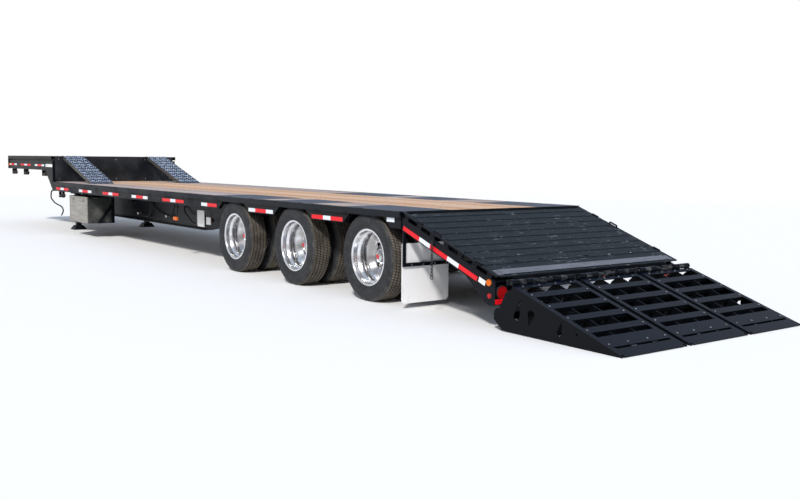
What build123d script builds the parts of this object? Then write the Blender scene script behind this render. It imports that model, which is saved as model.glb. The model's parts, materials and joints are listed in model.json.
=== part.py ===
from build123d import *
from math import asin, atan, cos, hypot, radians, sin, tan
import os

# Drop deck trailer with a beavertail and three flip-over loading ramps.
# Millimetres. +X points forward to the kingpin, +Y is the trailer's left side, +Z is up.
# The origin is on the ground under the middle of the trailer, ramps let down.

# Lengths along the trailer, front to rear
UPPER_DECK_LENGTH = 3265
LOWER_DECK_LENGTH = 11490
BEAVERTAIL_LENGTH = 1400
HINGE_SETBACK = 148
RAMP_REACH = 1250

# Widths and heights
WIDTH = 2590
STEP_HEIGHT = 504
TYRE_CLEARANCE = 15
BEAVERTAIL_DROP = 500
FLOOR_THICKNESS = 33
PLATE = 10
FLANGE = 14
SEAT = 0.3

# Main beams and their goosenecks
BEAM_SPACING = 960
BEAM_FLANGE_WIDTH = 130
BEAM_DEPTH = 595
BEAM_OVER_AXLE = 155
BEAM_TAIL_DEPTH = 128
BEAM_TAPER_CLEARANCE = 40
BEAM_TAPER_LENGTH = 1820
BEAM_END_INSET = 80
NECK_DEPTH = 268
NECK_FOOT = 120
NECK_RISE_LENGTH = 830
NECK_GUSSET_LENGTH = 480
NECK_GUSSET_FOOT = 24

# Cross members
CROSS_DEPTH = 102
CROSS_WIDTH = 60
CROSS_WALL = 8
CROSS_PITCH = 460
CROSS_FIRST = 60
UPPER_CROSS_DEPTH = 90
UPPER_CROSS_PITCH = 410
UPPER_CROSS_FIRST = 240

# Side rails
RAIL_WIDTH = 58
RAIL_LIP = 4
RUB_BAR_THICKNESS = 12
RUB_BAR_HEIGHT = 68
RAIL_WALL = 8
CHANNEL_INSET = 6
LOWER_RAIL_DEPTH = 173
UPPER_RAIL_DEPTH = 282
UPPER_RAIL_LAP = 20

# Wheels and axles
AXLE_SPACING = 1524
REAR_AXLE_SETBACK = 612
TYRE_DIAMETER = 930
TYRE_WIDTH = 255
DUAL_SPACING = 335
TYRE_INSET = 25
RIM_RADIUS = 286
RIM_FLANGE = 16
RIM_WIDTH = 222
RIM_WALL = 9
RIM_WELL = 24
DISC_THICKNESS = 22
HUB_RADIUS = 84
HUB_CAP_RADIUS = 64
HUB_LENGTH = 148
DRUM_RADIUS = 208
DRUM_WIDTH = 190
DRUM_WALL = 16
BACKING_RADIUS = 180
AXLE_TUBE_DIAMETER = 127
SPINDLE_DIAMETER = 76
CHAMBER_DIAMETER = 150
CHAMBER_LENGTH = 120
CHAMBER_SETBACK = 160
HAND_HOLE_COUNT = 10
HAND_HOLE_RADIUS = 24
HAND_HOLE_CIRCLE = 175
ARCH_HALF_BOTTOM = 440
ARCH_HALF_TOP = 262

# Air suspension
HANGER_FORWARD = 500
HANGER_LENGTH = 180
HANGER_GAP = 50
PIVOT_DIAMETER = 40
ARM_HALF_WIDTH = 42
ARM_SADDLE = 36
ARM_TAIL_TOP = 110
ARM_LOW = 150
SPRING_SETBACK = 350
SPRING_REACH = 110

# Beavertail
CLEAT_COUNT = 9
CLEAT_WIDTH = 28
CLEAT_HEIGHT = 5
DECK_PLATE = 8
END_STRIP_WIDTH = 90
TAIL_INSET = 28
TAIL_SIDE_DEPTH = 172
TAIL_CAP_WIDTH = 42
TAIL_CAP_THICKNESS = 14
TAIL_SLOT_HEIGHT = 40
TAIL_SLOT_COUNT = 6
SPACER_LENGTH = 62
SPACER_WIDTH = 18
HEADER_HEIGHT = 109

# Ramp hinges and ramps
PIN_RISE = 12
PIN_DIAMETER = 26
PIN_CLEARANCE = 0.3
KNUCKLE_RADIUS = 26
KNUCKLE_LENGTH = 78
KNUCKLE_GAP = 6
KNUCKLE_SPREAD = 262
RAMP_COUNT = 3
RAMP_GAP = 55
RAMP_SIDE_CLEARANCE = 15
RAMP_PLATE = 9
RAMP_FLANGE_WIDTH = 55
RAMP_HINGE_PLATE = 52
RAMP_CHANNEL_WIDTH = 85
RAMP_CHANNEL_DEPTH = 42
RAMP_CHANNEL_PITCH = 220
RAMP_CHANNEL_COUNT = 4
RAMP_WIDE_PLATE = 165
RAMP_TOE_PLATE = 120
RAMP_TOE_THICKNESS = 12

# Light boxes and lamps
BOX_WIDTH = 196
BOX_LENGTH = 430
BOX_HANG = 224
BOX_WALL = 6
LAMP_RADIUS = 57
LAMP_DEPTH = 24
MARKER_RADIUS = 22
MARKER_DEPTH = 12

# Mud flaps
FLAP_INSET = 23
FLAP_WIDTH = 600
FLAP_THICKNESS = 8
FLAP_LOW_Z = 55
FLAP_TOP_Z = 660
FLAP_BAR_Z = 446
FLAP_BAR = 36
FLAP_CORNER = 45

# Toolbox under the lower deck
TOOLBOX_LENGTH = 1020
TOOLBOX_DEPTH = 490
TOOLBOX_HEIGHT = 480
TOOLBOX_WALL = 5
TOOLBOX_SETBACK = 905
TOOLBOX_DROP = 60
TOOLBOX_INSET = 55
DOOR_THICKNESS = 10
DOOR_MARGIN = 2
HANGER_BAR = 44

# Landing legs
LEG_FORWARD = 220
LEG_INSET = 575
LEG_OUTER = 116
LEG_INNER = 96
LEG_LOW = 330
SHOE_SIZE = 250
SHOE_HEIGHT = 88
SHOE_PLATE = 10
CRANK_DIAMETER = 26

# Removable deck ramps
DECK_RAMP_RUN = 1735
DECK_RAMP_WIDTH = 396
DECK_RAMP_DEPTH = 72
DECK_RAMP_WALL = 8
DECK_RAMP_INSET = 231
DECK_RAMP_LIP = 110
RUNG_PITCH = 62
RUNG_WIDTH = 30
RUNG_THICKNESS = 6

# Coupling and nose
KINGPIN_SETBACK = 760
COUPLER_INSET = 60
COUPLER_LENGTH = 1560
COUPLER_WIDTH = 1080
COUPLER_THICKNESS = 10
RECESS_WIDTH = 520
RECESS_HEIGHT = 150
RECESS_DEPTH = 90

# Places worked out from the sizes
OVERALL = UPPER_DECK_LENGTH + LOWER_DECK_LENGTH + BEAVERTAIL_LENGTH + HINGE_SETBACK + RAMP_REACH
nose_x = OVERALL / 2
neck_x = nose_x - UPPER_DECK_LENGTH
tail_top_x = neck_x - LOWER_DECK_LENGTH
tail_end_x = tail_top_x - BEAVERTAIL_LENGTH
pin_x = tail_end_x - HINGE_SETBACK
toe_x = pin_x - RAMP_REACH
rear_axle_x = tail_top_x + REAR_AXLE_SETBACK
axle_xs = [rear_axle_x + 2 * AXLE_SPACING, rear_axle_x + AXLE_SPACING, rear_axle_x]
half = WIDTH / 2
beam_y = BEAM_SPACING / 2
web_y = beam_y + PLATE / 2
inner_web_y = beam_y - PLATE / 2
flange_y = beam_y + BEAM_FLANGE_WIDTH / 2
inner_flange_y = beam_y - BEAM_FLANGE_WIDTH / 2
tyre_radius = TYRE_DIAMETER / 2
axle_z = tyre_radius
cross_top = TYRE_DIAMETER + TYRE_CLEARANCE
deck_z = cross_top + FLOOR_THICKNESS
upper_z = deck_z + STEP_HEIGHT
upper_cross_top = upper_z - FLOOR_THICKNESS
beam_low = cross_top - BEAM_DEPTH
beam_rear_low = axle_z + BEAM_OVER_AXLE
neck_low = upper_z - NECK_DEPTH
rail_inner_y = half - RUB_BAR_THICKNESS - RAIL_WIDTH
channel_outer = half - RUB_BAR_THICKNESS - CHANNEL_INSET
channel_low = deck_z - LOWER_RAIL_DEPTH
upper_rail_low = upper_z - UPPER_RAIL_DEPTH
slope = atan(BEAVERTAIL_DROP / BEAVERTAIL_LENGTH)
tail_outer = half - TAIL_INSET


def tail_line(x, rise):
    """Height at x of the line parallel to the beavertail, rise measured square to it."""
    return deck_z - (tail_top_x - x) * tan(slope) + rise / cos(slope)


pin_z = tail_line(pin_x, PIN_RISE)
toe_line = hypot(RAMP_REACH, pin_z - RAMP_TOE_THICKNESS)
ramp_slope = atan((pin_z - RAMP_TOE_THICKNESS) / RAMP_REACH) - asin(PIN_RISE / toe_line)
ramp_length = (toe_line**2 - PIN_RISE**2) ** 0.5


def block(x0, x1, y0, y1, z0, z1):
    """A box between two corners."""
    centre = ((x0 + x1) / 2, (y0 + y1) / 2, (z0 + z1) / 2)
    return Pos(*centre) * Box(abs(x1 - x0), abs(y1 - y0), abs(z1 - z0))


def side_cut(points, y0, y1):
    """A side profile of (x, z) points, drawn across from y0 to y1."""
    face = make_face(Polyline(*points, close=True))
    return extrude(Plane(origin=(0, y1, 0), x_dir=(1, 0, 0), z_dir=(0, -1, 0)) * face, y1 - y0)


def cross_cut(points, x0, x1):
    """A cross-section of (y, z) points, drawn along from x0 to x1."""
    face = make_face(Polyline(*points, close=True))
    return extrude(Plane(origin=(x0, 0, 0), x_dir=(0, 1, 0), z_dir=(1, 0, 0)) * face, x1 - x0)


def tube(start, end, diameter):
    """A round bar from start to end."""
    line = Vector(*end) - Vector(*start)
    circle = Plane(origin=start, z_dir=line) * Circle(diameter / 2)
    return extrude(circle, line.length)


def band(points, thickness):
    """The outline of a flange that follows a line of (x, z) points."""
    return points + [(x, z + thickness) for x, z in reversed(points)]


def fused(pieces):
    """One body from pieces that are welded together."""
    return pieces[0] + pieces[1:]


def both_sides(solid):
    """The solid and its mirror image on the trailer's other side."""
    return [solid, mirror(solid, about=Plane.XZ)]


def save(name, solids):
    """Write one sub-part's solids as a STEP file named after it."""
    shapes = solids if isinstance(solids, list) else [solids]
    pieces = [piece for shape in shapes for piece in shape.solids()]
    export_step(Compound(pieces), f"parts/{name}.step")


os.makedirs("parts", exist_ok=True)

# Main beams: welded I beams, deep in mid-trailer, shallow over the axles, tapered under the beavertail
taper_rear_x = axle_xs[0] + HANGER_FORWARD + HANGER_LENGTH / 2 + BEAM_TAPER_CLEARANCE
taper_front_x = taper_rear_x + BEAM_TAPER_LENGTH
header_x = tail_end_x + BEAM_END_INSET
tail_join_x = tail_top_x - PLATE
beam_bottom = [
    (neck_x, beam_low),
    (taper_front_x, beam_low),
    (taper_rear_x, beam_rear_low),
    (tail_top_x, beam_rear_low),
    (header_x, tail_line(header_x, -BEAM_TAIL_DEPTH)),
]
beam_top = [
    (header_x, tail_line(header_x, -DECK_PLATE)),
    (tail_join_x, tail_line(tail_join_x, -DECK_PLATE)),
    (tail_join_x, cross_top),
    (neck_x, cross_top),
]
main_beam = fused([
    side_cut(beam_bottom + beam_top, beam_y - PLATE / 2, web_y),
    side_cut(band(beam_bottom, FLANGE), beam_y - BEAM_FLANGE_WIDTH / 2, flange_y),
    side_cut(band([(tail_join_x, cross_top - FLANGE), (neck_x, cross_top - FLANGE)], FLANGE),
             beam_y - BEAM_FLANGE_WIDTH / 2, flange_y),
])
save("main_beams", both_sides(main_beam))

# Neck beams: the goosenecks, from the drop up to the nose
neck_back_x = neck_x + PLATE + SEAT
neck_end_x = nose_x - PLATE - SEAT
neck_foot_x = neck_x + NECK_FOOT
neck_bottom = [
    (neck_x, beam_low),
    (neck_foot_x, beam_low),
    (neck_foot_x + NECK_RISE_LENGTH, neck_low),
    (neck_end_x, neck_low),
]
neck_top = [
    (neck_end_x, upper_cross_top),
    (neck_back_x, upper_cross_top),
    (neck_back_x, cross_top),
    (neck_x, cross_top),
]
neck_top_line = [(neck_back_x, upper_cross_top - FLANGE), (neck_end_x, upper_cross_top - FLANGE)]
neck_beam = fused([
    side_cut(neck_bottom + neck_top, beam_y - PLATE / 2, web_y),
    side_cut(band(neck_bottom, FLANGE), beam_y - BEAM_FLANGE_WIDTH / 2, flange_y),
    side_cut(band(neck_top_line, FLANGE), beam_y - BEAM_FLANGE_WIDTH / 2, flange_y),
])
save("neck_beams", both_sides(neck_beam))


# Cross members: small I beams between the main beams, with outriggers to the side rails
def i_section(x, y0, y1, top, depth):
    wide = CROSS_WIDTH / 2
    return fused([
        block(x - CROSS_WALL / 2, x + CROSS_WALL / 2, y0, y1, top - depth, top),
        block(x - wide, x + wide, y0, y1, top - CROSS_WALL, top),
        block(x - wide, x + wide, y0, y1, top - depth, top - depth + CROSS_WALL),
    ])


def knee(x, y0, y1, top, depth):
    """A thin web that joins a cross member to the beam's web, under the beam's top flange."""
    return block(x - CROSS_WALL / 2, x + CROSS_WALL / 2, y0, y1, top - depth, top - FLANGE)


def outrigger(x, top, depth):
    """An arm from the left beam out to the side rail."""
    return i_section(x, flange_y, rail_inner_y, top, depth) + knee(x, web_y, flange_y, top, depth)


def middle_member(x, top, depth):
    """A cross member between the two beams, flush with their tops."""
    ends = both_sides(knee(x, inner_flange_y, inner_web_y, top, depth))
    return fused([i_section(x, -inner_flange_y, inner_flange_y, top, depth), *ends])


def stations(first, last, pitch):
    """Places from first towards last, a pitch apart."""
    step = pitch if last > first else -pitch
    count = int((last - first) / step) + 1
    return [first + step * row for row in range(count)]


cross_xs = stations(neck_x - CROSS_FIRST, tail_top_x + CROSS_WIDTH, CROSS_PITCH)
wheel_clear_x = axle_xs[0] + tyre_radius + CROSS_WIDTH
outrigger_xs = [x for x in cross_xs if x > wheel_clear_x]
outrigger_xs += [(front + rear) / 2 for front, rear in zip(axle_xs, axle_xs[1:])]
outrigger_xs.append(tail_top_x + CROSS_WIDTH / 2)
lower_cross = [middle_member(x, cross_top, CROSS_DEPTH) for x in cross_xs]
for x in outrigger_xs:
    lower_cross += both_sides(outrigger(x, cross_top, CROSS_DEPTH))
save("lower_cross_members", lower_cross)

recess_back_x = nose_x - RECESS_DEPTH
upper_cross = []
for x in stations(neck_x + UPPER_CROSS_FIRST, recess_back_x - CROSS_WIDTH / 2, UPPER_CROSS_PITCH):
    upper_cross.append(middle_member(x, upper_cross_top, UPPER_CROSS_DEPTH))
    upper_cross += both_sides(outrigger(x, upper_cross_top, UPPER_CROSS_DEPTH))
save("upper_cross_members", upper_cross)


# Side rails: an edge angle with an outer rub bar along each deck, and a channel hung below
def rail_section(top, low):
    """Cross-section of the left rail: inner web, top flange and outer rub bar in one."""
    rub = half - RUB_BAR_THICKNESS
    return [(rail_inner_y, low), (rail_inner_y, top), (half, top), (half, top - RUB_BAR_HEIGHT),
            (rub, top - RUB_BAR_HEIGHT), (rub, top - RAIL_WALL),
            (rail_inner_y + RAIL_WALL, top - RAIL_WALL), (rail_inner_y + RAIL_WALL, low)]


def channel_section(low, top):
    """Cross-section of the left channel, open at the top."""
    return [(rail_inner_y, top), (rail_inner_y, low), (channel_outer, low), (channel_outer, top),
            (channel_outer - RAIL_WALL, top), (channel_outer - RAIL_WALL, low + RAIL_WALL),
            (rail_inner_y + RAIL_WALL, low + RAIL_WALL), (rail_inner_y + RAIL_WALL, top)]


channel_top = cross_top - RAIL_LIP
save("side_rails", both_sides(cross_cut(rail_section(deck_z, channel_top), tail_top_x, neck_x)))

channels = cross_cut(channel_section(channel_low, channel_top), tail_top_x, neck_x)
arches = []
for x in axle_xs:
    arches.append(side_cut([(x - ARCH_HALF_BOTTOM, channel_low - 1), (x + ARCH_HALF_BOTTOM, channel_low - 1),
                            (x + ARCH_HALF_TOP, channel_top + 1), (x - ARCH_HALF_TOP, channel_top + 1)],
                           rail_inner_y - 1, half))
save("side_channels", both_sides(channels - arches))

upper_joint_z = upper_z - RUB_BAR_HEIGHT - UPPER_RAIL_LAP
upper_rail = cross_cut(rail_section(upper_z, upper_joint_z), neck_back_x, neck_end_x)
upper_rail += cross_cut(channel_section(upper_rail_low, upper_joint_z), neck_back_x, neck_end_x)
save("upper_side_rails", both_sides(upper_rail))

# Neck plates: slanted gussets that close the drop on each side
gusset = [
    (neck_x, channel_low),
    (neck_x + NECK_GUSSET_FOOT, channel_low),
    (neck_x + NECK_GUSSET_LENGTH, upper_rail_low),
    (neck_x, upper_rail_low),
]
neck_plate = side_cut(gusset, channel_outer - PLATE, channel_outer)
neck_plate += block(neck_x, neck_x + PLATE, rail_inner_y, channel_outer, channel_low, upper_joint_z)
save("neck_plates", both_sides(neck_plate))

# Bulkhead: the panel that closes the step between the decks
save("bulkhead", block(neck_x, neck_x + PLATE, -rail_inner_y + SEAT, rail_inner_y - SEAT,
                       cross_top + SEAT, upper_z))

# Nose: the front plate of the upper deck with a recess for the air and electric lines
recess_z = upper_z - UPPER_RAIL_DEPTH / 2
recess_y = RECESS_WIDTH / 2
recess_low = recess_z - RECESS_HEIGHT / 2
recess_high = recess_z + RECESS_HEIGHT / 2
nose_plate = block(nose_x - PLATE, nose_x, -half, half, upper_rail_low, upper_z)
nose_plate += block(recess_back_x, nose_x - PLATE, -recess_y - RAIL_WALL, recess_y + RAIL_WALL,
                    recess_low - RAIL_WALL, recess_high + RAIL_WALL)
nose_plate -= block(recess_back_x + RAIL_WALL, nose_x + 1, -recess_y, recess_y, recess_low, recess_high)
save("nose_plate", nose_plate)

# Nose couplings: two air hose heads and the electric socket in the recess
HEAD_Y = 170
HEAD_DIAMETER = 62
HEAD_HEIGHT = 40
STEM_DIAMETER = 36
SOCKET_DIAMETER = 74
SOCKET_BORE = 52
SOCKET_LENGTH = 50
SOCKET_FLOOR = 12
back_x = recess_back_x + RAIL_WALL
head_x = back_x + HEAD_DIAMETER / 2 + 3
couplings = []
for y in (-HEAD_Y, HEAD_Y):
    stem = tube((back_x, y, recess_z), (head_x, y, recess_z), STEM_DIAMETER)
    head_low = recess_z - HEAD_HEIGHT / 3
    head = tube((head_x, y, head_low), (head_x, y, head_low + HEAD_HEIGHT), HEAD_DIAMETER)
    couplings.append(stem + head)
socket = tube((back_x, 0, recess_z), (back_x + SOCKET_LENGTH, 0, recess_z), SOCKET_DIAMETER)
socket -= tube((back_x + SOCKET_FLOOR, 0, recess_z), (back_x + SOCKET_LENGTH + 1, 0, recess_z), SOCKET_BORE)
save("nose_couplings", couplings + [socket])

# Coupler plate with two stiffeners between the neck beams, and the kingpin below it
STIFFENER_HEIGHT = 120
coupler_low = neck_low - COUPLER_THICKNESS
coupler_front_x = nose_x - COUPLER_INSET
coupler_rear_x = coupler_front_x - COUPLER_LENGTH
coupler = block(coupler_rear_x, coupler_front_x, -COUPLER_WIDTH / 2, COUPLER_WIDTH / 2, coupler_low, neck_low)
for x in (coupler_front_x - COUPLER_LENGTH / 4, coupler_rear_x + COUPLER_LENGTH / 12):
    coupler += block(x - PLATE / 2, x + PLATE / 2, -inner_flange_y, inner_flange_y,
                     neck_low, neck_low + STIFFENER_HEIGHT)
save("coupler_plate", coupler)

# Radius and depth below the coupler plate, for a 2 inch kingpin
KINGPIN_PROFILE = [(0, 0), (36.5, 0), (36.5, 33), (25.4, 33), (25.4, 69), (35.7, 69), (35.7, 84), (0, 84)]
kingpin_x = nose_x - KINGPIN_SETBACK
kingpin = revolve(make_face(Polyline(*[(r, -d) for r, d in KINGPIN_PROFILE], close=True)), Axis.Y)
save("kingpin", Pos(kingpin_x, 0, coupler_low) * Rot(90, 0, 0) * kingpin)

# Floor boards: planks along the deck, the middle ones unbroken, the outer ones let in round the covers
BOARD_GAP = 3
CENTRE_BOARDS = 6
OUTER_BOARDS = 4
UPPER_BOARDS = 14
centre_half = 620
outer_edge = rail_inner_y - SEAT
# How far each cover reaches ahead of its axle and behind it
COVERS = [(640, 700), (505, 370), (487, REAR_AXLE_SETBACK - 2)]


def planks(x0, x1, y0, y1, count, top):
    width = (y1 - y0 - BOARD_GAP * (count - 1)) / count
    rows = []
    for row in range(count):
        y = y0 + row * (width + BOARD_GAP)
        rows.append(block(x0, x1, y, y + width, top - FLOOR_THICKNESS, top))
    return rows


save("centre_boards", planks(tail_top_x, neck_x - 1, -centre_half, centre_half, CENTRE_BOARDS, deck_z))

cover_spans = [(x - rear, x + front) for x, (front, rear) in zip(axle_xs, COVERS)]
board_spans = [(cover_spans[0][1] + BOARD_GAP, neck_x - 1)]
for front, rear in zip(cover_spans, cover_spans[1:]):
    board_spans.append((rear[1] + BOARD_GAP, front[0] - BOARD_GAP))
outer_boards = []
for x0, x1 in board_spans:
    for plank in planks(x0, x1, centre_half + BOARD_GAP, outer_edge, OUTER_BOARDS, deck_z):
        outer_boards += both_sides(plank)
save("outer_boards", outer_boards)

# Wheel covers: steel plates let into the floor over the wheels, their ends turned down
covers = []
for x0, x1 in cover_spans:
    outline = [(x0, cross_top), (x0, deck_z), (x1, deck_z), (x1, cross_top), (x1 - DECK_PLATE, cross_top),
               (x1 - DECK_PLATE, deck_z - DECK_PLATE), (x0 + DECK_PLATE, deck_z - DECK_PLATE),
               (x0 + DECK_PLATE, cross_top)]
    covers += both_sides(side_cut(outline, centre_half + BOARD_GAP, outer_edge))
save("wheel_covers", covers)

save("upper_boards", planks(neck_back_x, neck_end_x, -outer_edge, outer_edge,
                            UPPER_BOARDS, upper_z))


# Beavertail deck: sloped steel plate with cross cleats and small through slots
def on_tail(x, rise):
    """The point of the beavertail's side view that lies rise above its surface, square to it."""
    return (x - rise * sin(slope), tail_line(x, 0) + rise * cos(slope))


def tail_strip(x0, x1, low, high, y0, y1):
    corners = [on_tail(x0, low), on_tail(x1, low), on_tail(x1, high), on_tail(x0, high)]
    return side_cut(corners, y0, y1)


CLEAT_FIRST = 60
END_STRIP_INSET = 25
TAIL_SLOT_X = 240
TAIL_SLOT_LENGTH = 32
TAIL_SLOT_WIDTH = 68
TAIL_SLOT_YS = (140, 480, 810)
deck_edge = tail_outer - TAIL_CAP_WIDTH - SEAT
strip_top_x = tail_end_x + END_STRIP_INSET + END_STRIP_WIDTH
tail_deck = [side_cut([(tail_end_x, tail_line(tail_end_x, 0)), (tail_top_x, deck_z),
                       (tail_top_x, tail_line(tail_top_x, -DECK_PLATE)),
                       (tail_end_x, tail_line(tail_end_x, -DECK_PLATE))], -deck_edge, deck_edge)]
cleat_pitch = (tail_top_x - strip_top_x - 2 * CLEAT_FIRST) / CLEAT_COUNT
for row in range(CLEAT_COUNT):
    x = tail_top_x - CLEAT_FIRST - cleat_pitch * (row + 0.5)
    tail_deck.append(tail_strip(x - CLEAT_WIDTH, x, -1, CLEAT_HEIGHT, -deck_edge, deck_edge))
tail_deck.append(tail_strip(tail_end_x + END_STRIP_INSET, strip_top_x, -1, CLEAT_HEIGHT,
                            -deck_edge + CLEAT_FIRST, deck_edge - CLEAT_FIRST))
slot_x = tail_end_x + TAIL_SLOT_X
slots = []
for y in TAIL_SLOT_YS:
    slots += both_sides(block(slot_x - TAIL_SLOT_LENGTH / 2, slot_x + TAIL_SLOT_LENGTH / 2,
                              y - TAIL_SLOT_WIDTH / 2, y + TAIL_SLOT_WIDTH / 2, 0, deck_z))
save("beavertail_deck", fused(tail_deck) - slots)

# Beavertail sides: a cap bar on spacers over a side plate, with an open light box at the rear
BOX_REAR_INSET = 24
PANEL_SETBACK = 42
slot_low = -TAIL_CAP_THICKNESS - TAIL_SLOT_HEIGHT
box_inner_y = tail_outer - BOX_WIDTH
box_front_x = tail_end_x + BOX_LENGTH
box_rear_x = tail_end_x + BOX_REAR_INSET
box_low_z = pin_z - BOX_HANG
cap_end_x = tail_end_x + BOX_REAR_INSET / 4
cap = tail_strip(cap_end_x, tail_top_x, -TAIL_CAP_THICKNESS, 0, tail_outer - TAIL_CAP_WIDTH, tail_outer)
cap &= block(cap_end_x, tail_top_x, 0, half, 0, deck_z)
save("beavertail_caps", both_sides(cap))

SPACER_FIRST = 60
spacers = []
spacer_pitch = (BEAVERTAIL_LENGTH - SPACER_LENGTH - 2 * SPACER_FIRST) / TAIL_SLOT_COUNT
for row in range(TAIL_SLOT_COUNT + 1):
    x = tail_top_x - SPACER_FIRST - spacer_pitch * row
    spacers += both_sides(tail_strip(x - SPACER_LENGTH, x, slot_low, -TAIL_CAP_THICKNESS,
                                     tail_outer - SPACER_WIDTH, tail_outer))
save("beavertail_spacers", spacers)

# Lower rear corner of the box: x ahead of its rear edge and z above its bottom
BOX_CORNER = [(92, 0), (30, -4), (0, 14)]
box_corner = [(box_rear_x + x, box_low_z + z) for x, z in BOX_CORNER]
side_outline = [
    (tail_top_x, tail_line(tail_top_x, slot_low)),
    (tail_top_x, tail_line(tail_top_x, -TAIL_SIDE_DEPTH)),
    (box_front_x, tail_line(box_front_x, -TAIL_SIDE_DEPTH)),
    *box_corner,
    (box_rear_x, tail_line(box_rear_x, slot_low)),
]
box_outline = [
    (box_front_x, tail_line(box_front_x, -TAIL_SIDE_DEPTH)),
    *box_corner,
    (box_rear_x, tail_line(box_rear_x, slot_low)),
    (box_front_x, tail_line(box_front_x, slot_low)),
]
hollow = [
    (box_front_x - BOX_WALL, tail_line(box_front_x, -TAIL_SIDE_DEPTH) + BOX_WALL),
    (box_rear_x + BOX_CORNER[0][0], box_low_z + BOX_WALL + 3),
    (box_rear_x - 1, box_low_z + BOX_CORNER[2][1] + 2),
    (box_rear_x - 1, tail_line(box_rear_x, slot_low) - BOX_WALL),
    (box_front_x - BOX_WALL, tail_line(box_front_x, slot_low) - BOX_WALL),
]
panel_x = box_rear_x + PANEL_SETBACK
panel_top = tail_line(panel_x, slot_low) - BOX_WALL / 2
tail_side = side_cut(side_outline, tail_outer - PLATE, tail_outer)
light_box = side_cut(box_outline, box_inner_y, tail_outer - PLATE)
light_box -= side_cut(hollow, box_inner_y + BOX_WALL, tail_outer - PLATE)
lamp_panel = block(panel_x, panel_x + BOX_WALL, box_inner_y + BOX_WALL / 2, tail_outer - PLATE / 2,
                   box_low_z + BOX_WALL, panel_top)
save("beavertail_sides", both_sides(fused([tail_side, light_box, lamp_panel])))

# Tail header: a channel across the rear of the beavertail that carries the ramp hinges
header_half = box_inner_y - SEAT
header_front_x = header_x - SEAT
header_low = tail_line(tail_end_x, -DECK_PLATE) - HEADER_HEIGHT
header_outline = [
    (tail_end_x, header_low),
    (header_front_x, header_low),
    (header_front_x, header_low + PLATE),
    (tail_end_x + PLATE, header_low + PLATE),
    (tail_end_x + PLATE, tail_line(tail_end_x + PLATE, -DECK_PLATE) - PLATE),
    (header_front_x, tail_line(header_front_x, -DECK_PLATE) - PLATE),
    (header_front_x, tail_line(header_front_x, -DECK_PLATE)),
    (tail_end_x, tail_line(tail_end_x, -DECK_PLATE)),
]
save("tail_header", side_cut(header_outline, -header_half, header_half))

# Ramp hinges: three knuckles on the header for each ramp, with one long pin through them
ramp_width = (2 * (tail_outer - RAMP_SIDE_CLEARANCE) - RAMP_GAP * (RAMP_COUNT - 1)) / RAMP_COUNT
ramp_centres = [(ramp_width + RAMP_GAP) * (row - (RAMP_COUNT - 1) / 2) for row in range(RAMP_COUNT)]
frame_knuckles = (-KNUCKLE_SPREAD, 0, KNUCKLE_SPREAD)
knuckle_pitch = KNUCKLE_LENGTH + KNUCKLE_GAP
# How far each ramp's own knuckles lie from its middle
ramp_knuckles = [side * (KNUCKLE_SPREAD + step * knuckle_pitch) for side in (-1, 1) for step in (-1, 1)]
pin_half = KNUCKLE_SPREAD + knuckle_pitch + KNUCKLE_LENGTH / 2
STRAP_DROP = 20
STRAP_RISE = 4


def pin_ring(y0, y1, radius):
    return tube((pin_x, y0, pin_z), (pin_x, y1, pin_z), 2 * radius)


strap_outline = [
    (pin_x, pin_z - KNUCKLE_RADIUS),
    (tail_end_x, pin_z - KNUCKLE_RADIUS - STRAP_DROP),
    (tail_end_x, pin_z + STRAP_RISE),
    (pin_x, pin_z),
]
hinge_pieces = [pin_ring(-pin_half, pin_half, PIN_DIAMETER / 2)]
for y in frame_knuckles:
    y0 = y - KNUCKLE_LENGTH / 2
    hinge_pieces.append(pin_ring(y0, y0 + KNUCKLE_LENGTH, KNUCKLE_RADIUS))
    hinge_pieces.append(side_cut(strap_outline, y0, y0 + KNUCKLE_LENGTH))
hinge = fused(hinge_pieces)
save("ramp_hinges", [Pos(0, centre, 0) * hinge for centre in ramp_centres])


# Ramps: wedges of cut side plates, inner ribs, cross channels, a wide plate and a toe plate
def on_ramp(s, rise):
    """A point of the ramp's side view: s down the running side from the pin, rise square to it."""
    x = pin_x + PIN_RISE * sin(ramp_slope) - s * cos(ramp_slope) - rise * sin(ramp_slope)
    z = pin_z - PIN_RISE * cos(ramp_slope) - s * sin(ramp_slope) + rise * cos(ramp_slope)
    return (x, z)


def ramp_strip(s0, s1, low, high, y0, y1):
    return side_cut([on_ramp(s0, low), on_ramp(s1, low), on_ramp(s1, high), on_ramp(s0, high)], y0, y1)


# Heel and front of the side plates: x ahead of the pin and z above the ground
RAMP_FRONT = [(92, 12), (198, 96), (198, 160), (172, 194), (130, 200)]
# Throat below the hinge: x ahead of the pin and z below it
RAMP_THROAT = [(52, 92), (12, 62)]
# Teardrop holes: x and z of the round end from the pin and the ground, its radius, the tip's x and z
TEARDROPS = [
    (-88, 158, 38, -132, 312),
    (-262, 196, 40, -238, 96),
    (-590, 92, 27, -618, 200),
    (-780, 104, 12, -778, 132),
]
hinge_plate_s = KNUCKLE_RADIUS + 12
front_points = [(pin_x + x, z) for x, z in RAMP_FRONT] + [(pin_x + x, pin_z - z) for x, z in RAMP_THROAT]
outer_outline = [
    on_ramp(hinge_plate_s, 0),
    on_ramp(ramp_length - 4, 0),
    (toe_x, 4),
    (toe_x + 6, 0),
    (toe_x + 60, 0),
    *front_points,
    on_ramp(hinge_plate_s, -34),
]
RIB_START = 66
RIB_END = 90
rib_outline = [
    on_ramp(RIB_START, -RAMP_PLATE),
    on_ramp(ramp_length - RIB_END, -RAMP_PLATE),
    (toe_x + RIB_END, 0),
    *front_points,
]


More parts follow.
